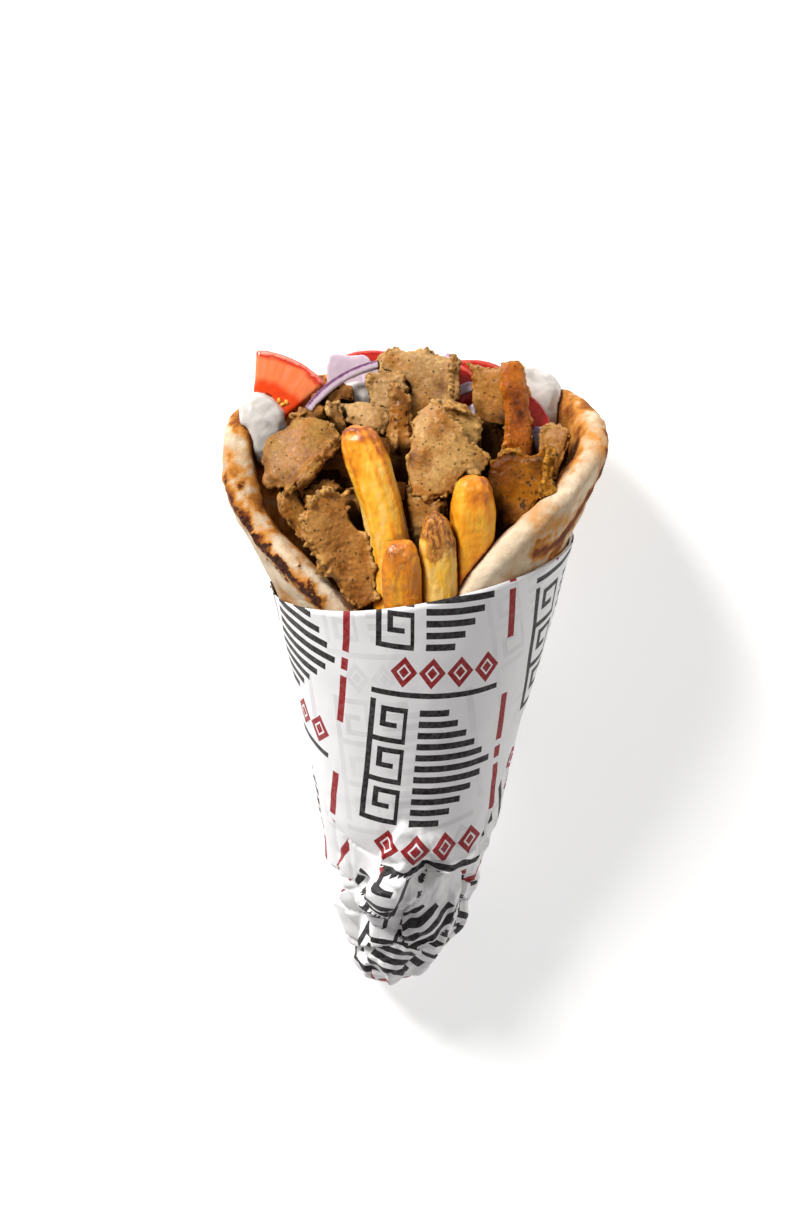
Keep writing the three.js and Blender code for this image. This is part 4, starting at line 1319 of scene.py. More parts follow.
    def spots_on(self, surface: Surface, path: Path) -> np.ndarray:
        """Where the places of a path, each an angle and a height, lie on the bread's outer face.

        Args:
            surface: the bread.
            path: its angles and heights.

        Returns:
            A place for each step of the path.
        """
        across, depth, heights = (surface.points - (2, 0, 0)).T
        angles, reach = np.degrees(np.arctan2(across, -depth)), np.hypot(across, depth)
        spots = []
        for angle, height in path:
            chosen = np.where((np.abs(angles - angle) < 2.5) & (np.abs(heights - height) < 1.5))[0]
            spots.append(surface.points[chosen[np.argmax(reach[chosen])]])
        return np.array(spots)

    def distance(self, points: np.ndarray, path: np.ndarray) -> np.ndarray:
        """How far each point is from a path of straight pieces.

        Args:
            points: where, in millimetres.
            path: places, one after another.

        Returns:
            One value for each point.
        """
        nearest = np.full(len(points), np.inf)
        for start, end in zip(path, path[1:]):
            way = end - start
            share = np.clip((points - start) @ way / (way @ way), 0, 1)
            nearest = np.minimum(nearest, length(points - start - share[:, None] * way)[:, 0])
        return nearest


class Roast(Enum):
    """How meat is cooked, or darkened as painted shade: name, colours of the pale, middling and dark flesh and
    of torn edges, and more.
    """

    PALE = ShavedMeat("shaved_meat_pale")
    TAN = ShavedMeat("shaved_meat_tan", "#C09352", "#A56F2F", "#6C4012", "#D8AA5A")
    TOASTED = ShavedMeat("shaved_meat_toasted", "#B47E3D", "#935A1D", "#5A320C", "#DBAA58")
    # Toasted meat painted darker: painted shade on the shavings that face the key light.
    TOASTED_PAINTED_SHADE = ShavedMeat("shaved_meat_toasted_painted_shade", "#A17330", "#87541C", "#52300D", "#C39046")
    BROWN = ShavedMeat("shaved_meat_brown", "#A9702F", "#82501C", "#452308", "#B98040")
    GOLDEN = ShavedMeat(
        "shaved_meat_golden", "#94580A", "#6E3C07", "#321703", "#C98C30", "#683004",
        grease=0.4, pepper=1.9, gloss=0.08,
    )  # fmt: skip
    CRUST = ShavedMeat(
        "shaved_meat_crust", "#C8701B", "#A8540F", "#622907", "#D48F3C", "#9E4A08",
        roughness=0.38, grease=0.8,
    )  # fmt: skip
    HEAP = ShavedMeat("meat_heap_below", "#6A4218", "#4A290D", "#241205", "#7A4E22", "#3A1C07", gloss=0.04)


@dataclass(frozen=True)
class Shaving(Portion):
    """One shaving of meat.

    It has its cooking, how ragged it is, how seared its edges are, how much painted shade it gets down in the
    gaps, and the height below which it gets painted shade wherever it lies.
    """

    roast: Roast = Roast.PALE
    ragged: float = 1.0
    seared: float = 0.0
    sinks: float = 1.0
    slot: str = "meat"
    lit_from: float = BELOW_ALL


@dataclass
class Shavings(Food):
    """The shavings of meat, with torn crumbly edges and close-grained, pitted faces."""

    name: str = "{}_shaving"
    cell_mm: float = 0.42
    rounds: int = 3
    seed: int = 100
    portions: tuple[Shaving, ...] = (
        Shaving("meat_left_low", Roast.TOASTED, 1.5, 0.3),
        Shaving("meat_left_edge", Roast.TOASTED, 1.6, 0.3),
        Shaving("meat_centre", Roast.TAN, 0.9, 0.25),
        Shaving("meat_centre_low", Roast.TAN, 0.9, 0.4, 0.8),
        Shaving("meat_right_low", Roast.GOLDEN, 0.8),
        Shaving("meat_left_top", Roast.TOASTED_PAINTED_SHADE, 0.9, 0.7),
        Shaving("meat_left_curl", Roast.TOASTED_PAINTED_SHADE, 1.1, 0.5),
        Shaving("meat_behind_chip", Roast.TOASTED, 1.1, 0.4),
        Shaving("meat_left_deep", Roast.BROWN, 1.3, sinks=1.3),
        # This shaving gets painted shade below a height of 63 mm, wherever it lies.
        Shaving("meat_centre_edge", Roast.TOASTED, 1.0, 0.4, 1.5, lit_from=63.0),
        Shaving("meat_far_right", Roast.TOASTED, 1.1, 0.5, 0),
        Shaving("meat_middle", Roast.TAN, 1.1, 0.3),
        Shaving("meat_middle_deep", Roast.BROWN, 1.1, sinks=1.2),
        Shaving("meat_crust", Roast.CRUST, 0.5, 0.2, 0, "meat_crust"),
        Shaving("meat_right_top", Roast.TOASTED, 1.0, 0.4, 0.7),
        Shaving("meat_top_front", Roast.PALE, 1.0, 0.3),
        Shaving("meat_top", Roast.PALE, 1.1, 0.25),
        Shaving("meat_top_left", Roast.PALE, 1.1),
        Shaving("meat_flake", Roast.PALE, 1.2),
        Shaving("meat_left_lump", Roast.BROWN, 1.2),
        Shaving("meat_back_lump", Roast.BROWN, 1.2),
    )

    def dress(self, surface: Surface, portion: Shaving, grain: Grain, crevices: Crevices) -> None:
        """Tears and crumbs along the edges, curds and pits on the faces.

        Args:
            surface: the piece.
            portion: what it is.
            grain: its own noise.
            crevices: how shut in each spot of the food is.
        """
        rim = rim_share(surface, 3)
        at = surface.points
        # The edge is crumbly in some places and cleanly cut in others.
        crumbly = smooth(grain.layers(at + 60, 12, 1), -0.3, 0.15)
        tears = 2.6 * grain.layers(at, 8.5, 1) + 1.5 * grain.layers(at + 7, 4.1, 1)
        crumbs = 1.5 * grain.once(at / 1.6) + 1.5 * grain.layers(at + 11, 4.2, 2, 0.7)
        crumbs += 1.5 * (grain.ridges(at + 5, 3.0, 3) - 0.55)
        bumps = grain.layers(at + 31, 13, 2)
        coarse = max(portion.ragged - 0.75, 0.1)
        curds = coarse * (0.4 * grain.layers(at + 3, 2.6, 2) + 0.4 * crumbly * grain.once(at))
        pits = 0.3 * grain.pits(at, 4.6, 0.24) + 0.2 * grain.pits(at + 20, 2.1, 0.2)
        ragged = rim * portion.ragged * (tears + (0.12 + 0.88 * crumbly) * crumbs)
        surface.push(ragged + (1 - 0.5 * rim) * (bumps + curds - pits))
        at = surface.points
        surface.mark("torn", smooth(rim + 0.35 * grain.layers(at, 2.5, 2), 0.35, 0.95) * 0.8)
        # The seared mark: seared edges, and painted shade down in the hollows between the curds and in the
        # pits.
        edges = portion.seared * smooth(rim + 0.5 * grain.layers(at + 3, 6, 2), 0.4, 1.0)
        surface.mark("seared", np.maximum(edges, 0.6 * smooth(ragged + curds - pits, -0.25, -1.3)))
        crevices.mark(surface, portion.sinks, portion.lit_from)
        finished(surface.piece, portion.roast.value)


@dataclass
class MeatHeap(Food):
    """The chopped meat that fills the gaps, dark and lumpy."""

    name: str = "chopped_meat_heap"
    cell_mm: float = 0.95
    rounds: int = 3
    seed: int = 90
    portions: tuple[Portion, ...] = (Portion("meat_core"),)

    def dress(self, surface: Surface, portion: Portion, grain: Grain, crevices: Crevices) -> None:
        """Lumps and hollows on its open top.

        Args:
            surface: the piece.
            portion: what it is.
            grain: its own noise.
            crevices: how shut in each spot of the food is.
        """
        lumps = 1.3 * grain.layers(surface.points, 6.5, 3) - 0.9 * grain.pits(surface.points, 5, 0.45)
        surface.push(smooth(surface.points[:, 2], 12, 26) * (lumps - 0.8))
        surface.mark("torn", smooth(lumps, 0.2, 1.0) * 0.5)
        surface.mark("seared", np.zeros(len(lumps)))
        crevices.mark(surface)
        finished(surface.piece, Roast.HEAP.value)


@dataclass(frozen=True)
class Chip(Portion):
    """One chip: its middle line, how crisp its tip and the rest of it are, and its peel.

    The peel goes from a share of its length to its tip.
    """

    foot: Spot
    tip: Spot
    crisp_tip: float
    crisp: float
    peel: float = 0.0
    peel_from: float = 0.66


@dataclass
class Chips(Food):
    """The chips that stand in front of the meat."""

    name: str = "{}_fried"
    cell_mm: float = 0.5
    rounds: int = 6
    seed: int = 200
    portions: tuple[Chip, ...] = (
        Chip("chip_tall", (-3.5, -31, 0), (-15.6, -18, 65.5), 0.54, 0.16),
        Chip("chip_skin_left", (-1.5, -36, -14), (-1.2, -37, 35), 0.62, 0.5, 0.42, 0.2, rounds=7),
        Chip("chip_skin_right", (11.5, -35, -12), (9, -33, 43.5), 0.45, 0.14, 0.78),
        Chip("chip_wide", (18, -30, -10), (20.8, -27.5, 53), 0.6, 0.3, rounds=24),
    )

    def dress(self, surface: Surface, portion: Chip, grain: Grain, crevices: Crevices) -> None:
        """Soft wrinkles along the chip, blisters at its tip and browned edges.

        Args:
            surface: the piece.
            portion: what it is.
            grain: its own noise.
            crevices: how shut in each spot of the food is.
        """
        at = surface.points
        way = np.array(portion.tip) - np.array(portion.foot)
        share = (at - np.array(portion.foot)) @ way / (way @ way)
        rim = rim_share(surface, 5)
        wrinkles = 0.75 * grain.layers(at - np.outer(share, way) * 0.7, 6.5, 3, 0.6)
        blisters = 0.6 * grain.layers(at, 3.2, 3) - 0.4 * grain.pits(at, 3.4, 0.4)
        surface.push(wrinkles + smooth(share, 0.8, 0.97) * blisters + 0.12 * grain.layers(at, 1.6, 1))
        patch = grain.layers(surface.points + 60, 9, 3)
        tipped = smooth(share + 0.16 * patch, 0.72, 0.98) * (portion.crisp_tip - portion.crisp)
        surface.mark("crisp", portion.crisp + tipped + 0.34 * smooth(rim, 0.25, 1) + 0.22 * patch)
        peeled = smooth(share + 0.22 * patch, portion.peel_from, portion.peel_from + 0.2)
        surface.mark("peel", portion.peel * peeled)
        crevices.mark(surface)
        finished(surface.piece, FriedPotato("fried_potato"))


@dataclass(frozen=True)
class Wedge(Portion):
    """One cut piece of tomato: the middle of its round, the ways its top and its cut look, and its radius."""

    middle: Spot
    up: Spot
    facing: Spot
    outer: float
    deep: bool = True


@dataclass
class Tomatoes(Food):
    """The tomato, cut into pieces of rounds."""

    name: str = "{}_cut"
    cell_mm: float = 0.45
    rounds: int = 5
    seed: int = 300
    portions: tuple[Wedge, ...] = (
        Wedge("tomato_left", (-48.7, 14, 48.2), (0.44, 0.31, 0.84), (-0.1, -0.93, 0.34), 31.4, False),
        Wedge("tomato_centre", (6.5, 15, 55), (0.5, 0.3, 0.85), (-0.05, -1, 0.35), 22.5),
        Wedge("tomato_back", (20.5, 22, 51.5), (0.1, 0.22, 0.95), (0, -1, 0.2), 23),
        Wedge("tomato_right", (28.6, 8, 52.6), (0.74, 0.25, 0.62), (-0.2, -1, 0.2), 18),
        Wedge("tomato_back_left", (-11, 26, 52.5), (-0.05, 0.2, 0.95), (0.1, -1, 0.3), 24),
    )
    bright: CutTomato = CutTomato("cut_tomato")
    deep: CutTomato = CutTomato("cut_tomato_deep", "#B01512", "#CE3324", "#B41C0E", "#D65A44")

    def dress(self, surface: Surface, portion: Wedge, grain: Grain, crevices: Crevices) -> None:
        """Marks how far each spot is from the middle of the round, its angle there, and the outer skin.

        Args:
            surface: the piece.
            portion: what it is.
            grain: its own noise.
            crevices: how shut in each spot of the food is.
        """
        surface.push(0.25 * grain.layers(surface.points, 4, 2))
        facing = np.array(portion.facing) / np.linalg.norm(portion.facing)
        up = np.array(portion.up) - np.dot(portion.up, facing) * facing
        up /= np.linalg.norm(up)
        side = np.cross(up, facing)
        apart = surface.points - np.array(portion.middle)
        across, along = apart @ side, apart @ up
        surface.mark("reach", np.hypot(across, along) / portion.outer)
        surface.mark("ray", np.arctan2(across, along) / (2 * np.pi) + 0.5)
        outward = unit(np.outer(across, side) + np.outer(along, up))
        surface.mark("skin", smooth(dots(surface.normals, outward), 0.6, 0.85))
        finished(surface.piece, self.deep if portion.deep else self.bright)


@dataclass(frozen=True)
class Slice(Portion):
    """One slice of onion: the way that its skin looks, and how purple that is."""

    skin: Spot
    purple: float


@dataclass
class Onions(Food):
    """The slices of red onion."""

    name: str = "{}_slice"
    cell_mm: float = 0.36
    rounds: int = 4
    seed: int = 400
    portions: tuple[Slice, ...] = (
        Slice("onion_strip", (-0.54, 0.29, 0.79), 0.95),
        Slice("onion_layer_left", (0, 0.3, 1), 0.12),
        Slice("onion_layer_middle", (0, 0.3, 1), 0.2),
        Slice("onion_strip_right", (0.3, 0.3, 1), 0.3),
        Slice("onion_strip_low", (-0.3, 0.3, -1), 0.75),
        Slice("onion_back", (0, 0.3, 1), 0.3),
        Slice("onion_far_right", (0.3, 0.2, 1), 0.3),
    )
    parts: int = 29

    def dress(self, surface: Surface, portion: Slice, grain: Grain, crevices: Crevices) -> None:
        """Purple skin along one edge, by how near each spot is to it in its own part of the slice.

        Args:
            surface: the piece.
            portion: what it is.
            grain: its own noise.
            crevices: how shut in each spot of the food is.
        """
        surface.push(0.12 * grain.layers(surface.points, 3, 2))
        up = np.array(portion.skin) / np.linalg.norm(portion.skin)
        height = surface.points @ up
        spread = surface.points - surface.points.mean(axis=0)
        spread = spread - np.outer(spread @ up, up)
        along = spread @ np.linalg.eigh(spread.T @ spread)[1][:, -1]
        part = np.digitize(along, np.linspace(along.min(), along.max(), self.parts + 1)[1:-1])
        lows, tops = np.zeros(self.parts), np.ones(self.parts)
        for index in np.unique(part):
            within = height[part == index]
            lows[index], tops[index] = within.min(), within.max()
        share = (height - lows[part]) / np.maximum(tops[part] - lows[part], 0.5)
        near = smooth(share + 0.15 * grain.layers(surface.points, 4, 2), 0.5, 0.92)
        surface.mark("rind", portion.purple * near + 0.08)
        finished(surface.piece, RedOnion("sliced_red_onion"))


@dataclass
class Sauce(Food):
    """The dollops of yoghurt sauce."""

    name: str = "{}_spooned"
    cell_mm: float = 0.5
    rounds: int = 8
    seed: int = 500
    portions: tuple[Portion, ...] = (Portion("sauce_left"), Portion("sauce_middle"), Portion("sauce_right"))

    def dress(self, surface: Surface, portion: Portion, grain: Grain, crevices: Crevices) -> None:
        """The soft folds that it was spooned in.

        Args:
            surface: the piece.
            portion: what it is.
            grain: its own noise.
            crevices: how shut in each spot of the food is.
        """
        drift = surface.points + 2.5 * grain.layers(surface.points, 9, 2)[:, None]
        surface.push(0.8 * (grain.ridges(drift, 19, 1) - 0.6) + 0.3 * grain.layers(drift, 8, 1))
        crevices.mark(surface, 0, rays=FEW_RAYS)
        finished(surface.piece, YoghurtSauce("yoghurt_sauce"))


@dataclass(frozen=True)
class Bits:
    """Loose bits of one sort: how many, their size, how flat they are, and the least torn spot for them."""

    name: str
    finish: Finish
    count: int
    size: tuple[float, float]
    flat: float
    torn: float


@dataclass
class Seasoning:
    """The crumbs and herbs on the meat, and the seeds of the tomato that shows its pulp."""

    bits: tuple[Bits, ...] = (
        Bits("meat_crumbs", Roast.PALE.value, 260, (0.25, 0.7), 0.7, 0.4),
        Bits("dried_herbs", DRIED_HERB, 260, (0.2, 0.5), 0.35, 0.0),
    )
    # Beyond this the meat is too shut in for anything to fall on.
    open_below: float = 0.45
    seeds: tuple[Spot, ...] = (
        (-39.7, 16.3, 63.4), (-38.6, 15.9, 62.3), (-39.4, 15.8, 61.5), (-37.3, 16.2, 62.9),
        (-41.0, 16.4, 62.6),
    )  # fmt: skip
    seed_face: Spot = (-0.08, -0.92, 0.38)
    seed_size: Spot = (1.2, 0.75, 0.5)

    def build(self, shavings: list[Object]) -> list[Object]:
        """All the loose bits.

        Args:
            shavings: the pieces of meat that they lie on.

        Returns:
            The pieces, one of each sort.
        """
        surfaces = [Surface(piece) for piece in shavings]
        points = np.concatenate([surface.points for surface in surfaces])
        normals = np.concatenate([surface.normals for surface in surfaces])
        torn, shut_in = (np.concatenate([s.marked(name) for s in surfaces]) for name in ("torn", "shut_in"))
        pieces = []
        for seed, bits in enumerate(self.bits):
            draw = np.random.default_rng(600 + seed)
            chosen = draw.choice(np.where((torn >= bits.torn) & (shut_in < self.open_below))[0], bits.count)
            sizes = draw.uniform(*bits.size, (bits.count, 1))
            sizes = sizes * draw.uniform([0.5, 0.5, 0.4], 1, (bits.count, 3)) * (1, 1, bits.flat)
            piece = self.scattered(bits.name, points[chosen], normals[chosen], sizes, draw)
            pieces.append(finished(piece, bits.finish))
        spots = np.array(self.seeds)
        facing, sizes = (np.tile(row, (len(spots), 1)) for row in (self.seed_face, self.seed_size))
        piece = self.scattered("tomato_seeds", spots, facing, sizes, np.random.default_rng(77))
        return pieces + [finished(piece, TOMATO_SEED)]

    def scattered(
        self, name: str, spots: np.ndarray, facing: np.ndarray, sizes: np.ndarray, draw: np.random.Generator
    ) -> Object:
        """Little lumps, each flattened onto the surface that it lies on, as one piece.

        Args:
            name: the piece's name.
            spots: where each lump lies.
            facing: the way that the surface looks there.
            sizes: half of each lump's length, width and height.
            draw: where the turn of each lump comes from.

        Returns:
            The piece.
        """
        shape = bmesh.new()
        for spot, way, size in zip(spots, facing, sizes):
            turned = Vector(way).to_track_quat("Z", "Y").to_matrix().to_4x4()
            spin = Matrix.Rotation(draw.uniform(0, math.tau), 4, "Z")
            place = Matrix.Translation(Vector(spot)) @ turned @ spin @ Matrix.Diagonal((*size, 1))
            place = LAY @ Matrix.Scale(MM, 4) @ place
            bmesh.ops.create_icosphere(shape, subdivisions=1, radius=1, matrix=place)
        piece = shaped(name, shape)
        piece.data.shade_smooth()
        return settle(piece)


# ---- The paper ------------------------------------------------------------------------------------


@dataclass(frozen=True)
class Crease:
    """A crease of the paper.

    It runs through some places, each an angle in degrees from the front and a height, and stands `rise` mm
    out. The paper falls over `gentle` mm on the left of its way, and over `steep` mm on its right.
    """

    path: Path
    rise: float
    gentle: float
    steep: float


@dataclass(frozen=True)
class Tuft:
    """A tuft or a hollow of the paper: its middle as an angle and a height, its reach, its rise and its edge.

    The edge is the share of the reach over which it falls.
    """

    angle: float
    height: float
    reach: tuple[float, float]
    rise: float
    edge: float


@dataclass(frozen=True)
class Grid:
    """The sheet's points, a row for each line round the wrap: angles, heights on the middle line, and dips.

    Angles and dips are in radians and heights in millimetres. A dip is how far a point looks down the wrap,
    which only those of the closed foot do.
    """

    angles: np.ndarray
    heights: np.ndarray
    dips: np.ndarray

    def ways(self) -> np.ndarray:
        """The outward directions of the points."""
        level, down = np.cos(self.dips), np.sin(self.dips)
        return np.stack([level * np.sin(self.angles), -level * np.cos(self.angles), -down], axis=-1)

    def placed(self, reach: np.ndarray | float) -> np.ndarray:
        """The points at some distance from the middle line."""
        middle = np.stack([axis_middle(self.heights), np.zeros_like(self.heights), self.heights], axis=-1)
        return middle + np.broadcast_to(reach, self.heights.shape)[..., None] * self.ways()


@dataclass(frozen=True)
class Crush:
    """The flat patches that the sheet breaks into where it is crushed, each tilted, turned and slid."""

    angles: np.ndarray
    middles: np.ndarray
    tilts: np.ndarray
    turns: np.ndarray
    slides: np.ndarray

    def nearest(self, points: np.ndarray) -> tuple[np.ndarray, np.ndarray]:
        """The patch that each point lies in, and how much farther the next one is.

        Args:
            points: where, in millimetres.

        Returns:
            A number and millimetres for each point.
        """
        apart = np.linalg.norm(points[:, None] - self.middles[None], axis=2)
        order = np.argpartition(apart, 1, axis=1)[:, :2]
        first, second = np.take_along_axis(apart, order, axis=1).T
        return np.where(first < second, order[:, 0], order[:, 1]), np.abs(second - first)


def turned_from(turns: np.ndarray | float, start: float) -> np.ndarray | float:
    """How far round some angles are from another one, in degrees from -180 to 180."""
    return (turns - start + 180) % 360 - 180


@dataclass
class PaperWrap:
    """The sheet of paper, wound round the bread with an overlap on the right and crushed shut at the foot."""

    columns: int = 276
    rows: int = 156
    cap_rows: int = 18
    # How much closer together the points are at the front than at the back.
    front_share: float = 1.7
    edge: tuple[float, float] = (16.2, 8.0)
    foot_z: float = -131.5
    round_z: float = -122.5
    overlap_deg: float = 46.0
    layer_mm: float = 0.75
    sheet_mm: float = 0.35
    cone_top_z: float = -187.0
    half_angle: float = math.radians(13.2)
    patch_count: int = 48
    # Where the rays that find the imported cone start, from the middle line.
    far_mm: float = 120.0
    # The paper's radius at some heights, where creases are laid out.
    girth: Path = ((-131, 8), (-120, 13), (-100, 20), (-80, 25), (-60, 29.5), (20, 46))
    # How far down the sheet, from its edge to its foot, each share of its rows lies.
    row_depths: Path = ((0, 0), (0.22, 0.5), (0.3, 0.58), (1, 1))
    # The angle at which the overlap ends, at some heights.
    seam: Path = ((-130, 60), (-85, 50), (-40, 72), (17, 100))
    creases: tuple[Crease, ...] = (
        # The long slanting crease, and the paper that is drawn over the hollow beside it.
        Crease(((-7, -64), (-14, -71.5), (-22, -78.5)), 2.55, 9, 1.1),
        Crease(((-4, -79), (5, -75.5), (14, -76.5), (25, -82.5)), 3.45, 7, 0.9),
        Crease(((70, -77.5), (42, -79.5), (26, -84.5), (22, -92)), 2.25, 5, 0.9),
        # The tuft, folded over to the left.
        Crease(((-13, -96), (-7.5, -89), (-2.5, -82)), 4.5, 8, 0.8),
        Crease(((-3, -81), (-13, -79.8), (-27, -85)), 3.0, 6, 0.8),
        Crease(((-38, -94), (-24, -97), (-12, -96)), 2.7, 5, 0.9),
        # The crushed side and end.
        Crease(((-70, -95), (-60, -103), (-44, -117)), 2.7, 3.5, 0.9),
        Crease(((-48, -95), (-36, -101), (-30, -112)), 2.25, 3.5, 0.8),
        Crease(((-66, -84), (-58, -92), (-50, -99)), 1.8, 4, 0.9),
        Crease(((8, -100), (4, -108), (12, -114)), 1.95, 6, 0.8),
        Crease(((6, -107), (20, -106), (38, -111)), 1.65, 2.6, 0.7),
        Crease(((14, -113), (28, -111.5), (44, -116)), 1.5, 2.4, 0.7),
        Crease(((40, -92), (46, -101), (36, -110)), 1.95, 6, 0.9),
        Crease(((-46, -121), (-26, -119), (-4, -123)), 1.65, 3, 0.8),
        Crease(((60, -88), (76, -98), (84, -112)), 1.8, 5, 0.9),
        Crease(((-100, -82), (-92, -96), (-84, -112)), 1.95, 5, 0.9),
        Crease(((120, -74), (132, -90), (126, -112)), 1.95, 6, 0.9),
        Crease(((165, -70), (172, -92), (-176, -112)), 1.8, 6, 0.9),
        Crease(((-150, -72), (-142, -92), (-150, -112)), 1.95, 6, 0.9),
    )
    tufts: tuple[Tuft, ...] = (
        Tuft(-17, -87.5, (6.5, 5.5), 3.64, 0.35),
        Tuft(6, -80.5, (4.5, 2.6), 2.24, 0.5),
        Tuft(9, -84.5, (3.6, 2.6), -3.64, 0.6),
        Tuft(17, -79.6, (7.0, 3.4), -3.36, 0.7),
        Tuft(8, -91, (5.5, 4.0), 1.96, 0.5),
        Tuft(-2, -99, (5.0, 3.0), -2.24, 0.6),
        Tuft(-38, -88, (5.0, 4.0), -2.1, 0.7),
        Tuft(20, -101, (6.0, 5.0), 1.4, 0.6),
    )

    def build(self, frame: dict) -> Object:
        """The sheet with its folds, in place of the plain cone.

        Args:
            frame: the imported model.

        Returns:
            The piece.
        """
        grid = self.grid()
        crush = self.crush()
        spots = grid.placed(self.reaches(frame, grid)) + self.folds(grid, crush)[..., None] * grid.ways()
        piece = self.sheet(spots, self.flat_places(grid, crush))
        return finished(piece, PrintedPaper("greaseproof_paper_printed"))

    def grid(self) -> Grid:
        """Lays out the sheet, with the rows of the closed foot after those of the cone.

        Returns:
            The points of the sheet.
        """
        turn = math.radians(360 + self.overlap_deg)
        depth = along_rows(self.row_depths, np.linspace(0, 1, self.rows)[:, None])
        nominal = self.edge[0] + depth * (self.round_z - self.edge[0])
        angles = np.radians(along_rows(self.seam, nominal)) - turn * (1 - self.spaced(turn)[None, :])
        top = self.edge[0] + self.edge[1] * np.sin(angles)
        heights = top + depth * (self.round_z - top)
        cap = (self.cap_rows, self.columns)
        dips = np.broadcast_to(np.radians(np.linspace(0, 90, self.cap_rows + 1)[1:])[:, None], cap)
        return Grid(
            np.vstack([angles, np.repeat(angles[-1:], self.cap_rows, axis=0)]),
            np.vstack([heights, np.full(cap, self.round_z)]),
            np.vstack([np.zeros_like(angles), dips]),
        )

    def spaced(self, turn: float) -> np.ndarray:
        """Shares of the way round the sheet, closer together at the front.

        Args:
            turn: how far round the sheet goes, in radians.

        Returns:
            A share for each column.
        """
        even = np.linspace(0, 1, 721)
        angles = math.radians(65) - turn * (1 - even)
        density = np.where(np.cos(angles) > -0.1, self.front_share, 1.0)
        filled = np.concatenate([[0], np.cumsum((density[1:] + density[:-1]) / 2)])
        return np.interp(np.linspace(0, 1, self.columns), filled / filled[-1], even)

    def reaches(self, frame: dict, grid: Grid) -> np.ndarray:
        """How far the cone's outer face is from the middle line, softened, with each layer over the last.

        Args:
            frame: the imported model.
            grid: the sheet's points.

        Returns:
            Millimetres for each point.
        """
        shape = merged(frame, "paper")
        shape.transform(TO_STANDING)
        tree = BVHTree.FromBMesh(shape)
        shape.free()
        ways, starts = grid.ways(), grid.placed(self.far_mm)
        reach = np.full(grid.angles.shape, np.nan)
        for row, column in np.ndindex(*reach.shape):
            hit = tree.ray_cast(Vector(starts[row, column]), Vector(-ways[row, column]))
            if hit[0] is not None and hit[3] < self.far_mm - 1:
                reach[row, column] = self.far_mm - hit[3]
        for row in range(len(reach) - 1, -1, -1):
            missed = np.isnan(reach[row])
            reach[row, missed] = reach[row + 1, missed] if row + 1 < len(reach) else np.nanmean(reach[row])
        for _ in range(14):
            reach[1:-1] = 0.5 * reach[1:-1] + 0.25 * (reach[:-2] + reach[2:])
            reach[:, 1:-1] = 0.5 * reach[:, 1:-1] + 0.25 * (reach[:, :-2] + reach[:, 2:])
        reach[-1] = reach[-1].mean()
        share = self.spaced(math.radians(360 + self.overlap_deg))
        return reach + 0.1 + self.layer_mm * share * np.cos(grid.dips)

    def crush(self) -> Crush:
        """Draws the patches of the crushed foot, which fade out towards the smooth part.

        Returns:
            The patches.
        """
        draw = np.random.default_rng(720)
        angles = draw.uniform(-math.pi, math.pi, self.patch_count)
        heights = draw.uniform(self.foot_z, -64, self.patch_count)
        middles = Grid(angles, heights, np.zeros_like(angles)).placed(along_rows(self.girth, heights))
        draw = np.random.default_rng(721)
        crushed = smooth(heights, -72, -88)
        tilts = 0.17 * draw.normal(size=middles.shape)
        turns = draw.uniform(-0.75, 0.75, len(middles)) * crushed
        slides = draw.uniform(-0.07, 0.07, (len(middles), 2)) * crushed[:, None]
        return Crush(angles, middles, tilts, turns, slides)

    def shaken(self, grid: Grid) -> np.ndarray:
        """The grid's points on a plain cone, as rows, shaken a little so that the patches' borders bend."""
        plain = grid.placed(along_rows(self.girth, grid.heights)).reshape(-1, 3)
        return plain + 1.6 * Grain(722).layers(plain, 11, 2)[:, None]

    def unrolled(self, angles: np.ndarray, heights: np.ndarray, dips: np.ndarray | float = 0.0) -> np.ndarray:
        """Where points of the cone lie on the flat sheet, in decimetres.

        Args:
            angles: round the cone, in radians.
            heights: along it, in millimetres.
            dips: how far over the closed foot, in radians.

        Returns:
            Two numbers for each point.
        """
        slant = ((heights - self.cone_top_z) / math.cos(self.half_angle) - dips * 9) / 100
        turn = angles * math.sin(self.half_angle)
        return np.stack([slant * np.sin(turn), slant * np.cos(turn)], axis=-1)

    def flat_places(self, grid: Grid, crush: Crush) -> np.ndarray:
        """Where each face's corners lie on the flat sheet, with the crushed patches turned and slid.

        Args:
            grid: the sheet's points.
            crush: its patches.

        Returns:
            By the corner's row and column in its face, then by the face's row and column: two decimetres.
        """
        rows, columns = grid.angles.shape[0] - 1, grid.angles.shape[1] - 1
        patch = crush.nearest(self.shaken(grid))[0].reshape(grid.angles.shape)[:-1, :-1]
        flat = self.unrolled(grid.angles, grid.heights, grid.dips)
        # The sheet goes round more than once, so a patch's middle is taken on the same turn as the face.
        here = grid.angles[:-1, :-1]
        there = here + (crush.angles[patch] - here + np.pi) % (2 * np.pi) - np.pi
        middle = self.unrolled(there, crush.middles[patch, 2])
        cosine, sine = np.cos(crush.turns[patch]), np.sin(crush.turns[patch])
        places = np.empty((2, 2, rows, columns, 2))
        for below, beside in np.ndindex(2, 2):
            over, up = np.moveaxis(flat[below : below + rows, beside : beside + columns] - middle, -1, 0)
            turned = np.stack([over * cosine - up * sine, over * sine + up * cosine], axis=-1)
            places[below, beside] = middle + turned + crush.slides[patch]
        return places

    def creased(self, grid: Grid) -> np.ndarray:
        """How far the creases and tufts push each point out.

        Args:
            grid: the sheet's points.

        Returns:
            Millimetres for each point.
        """
        turns = turned_from(np.degrees(grid.angles), 0)
        heights = grid.heights
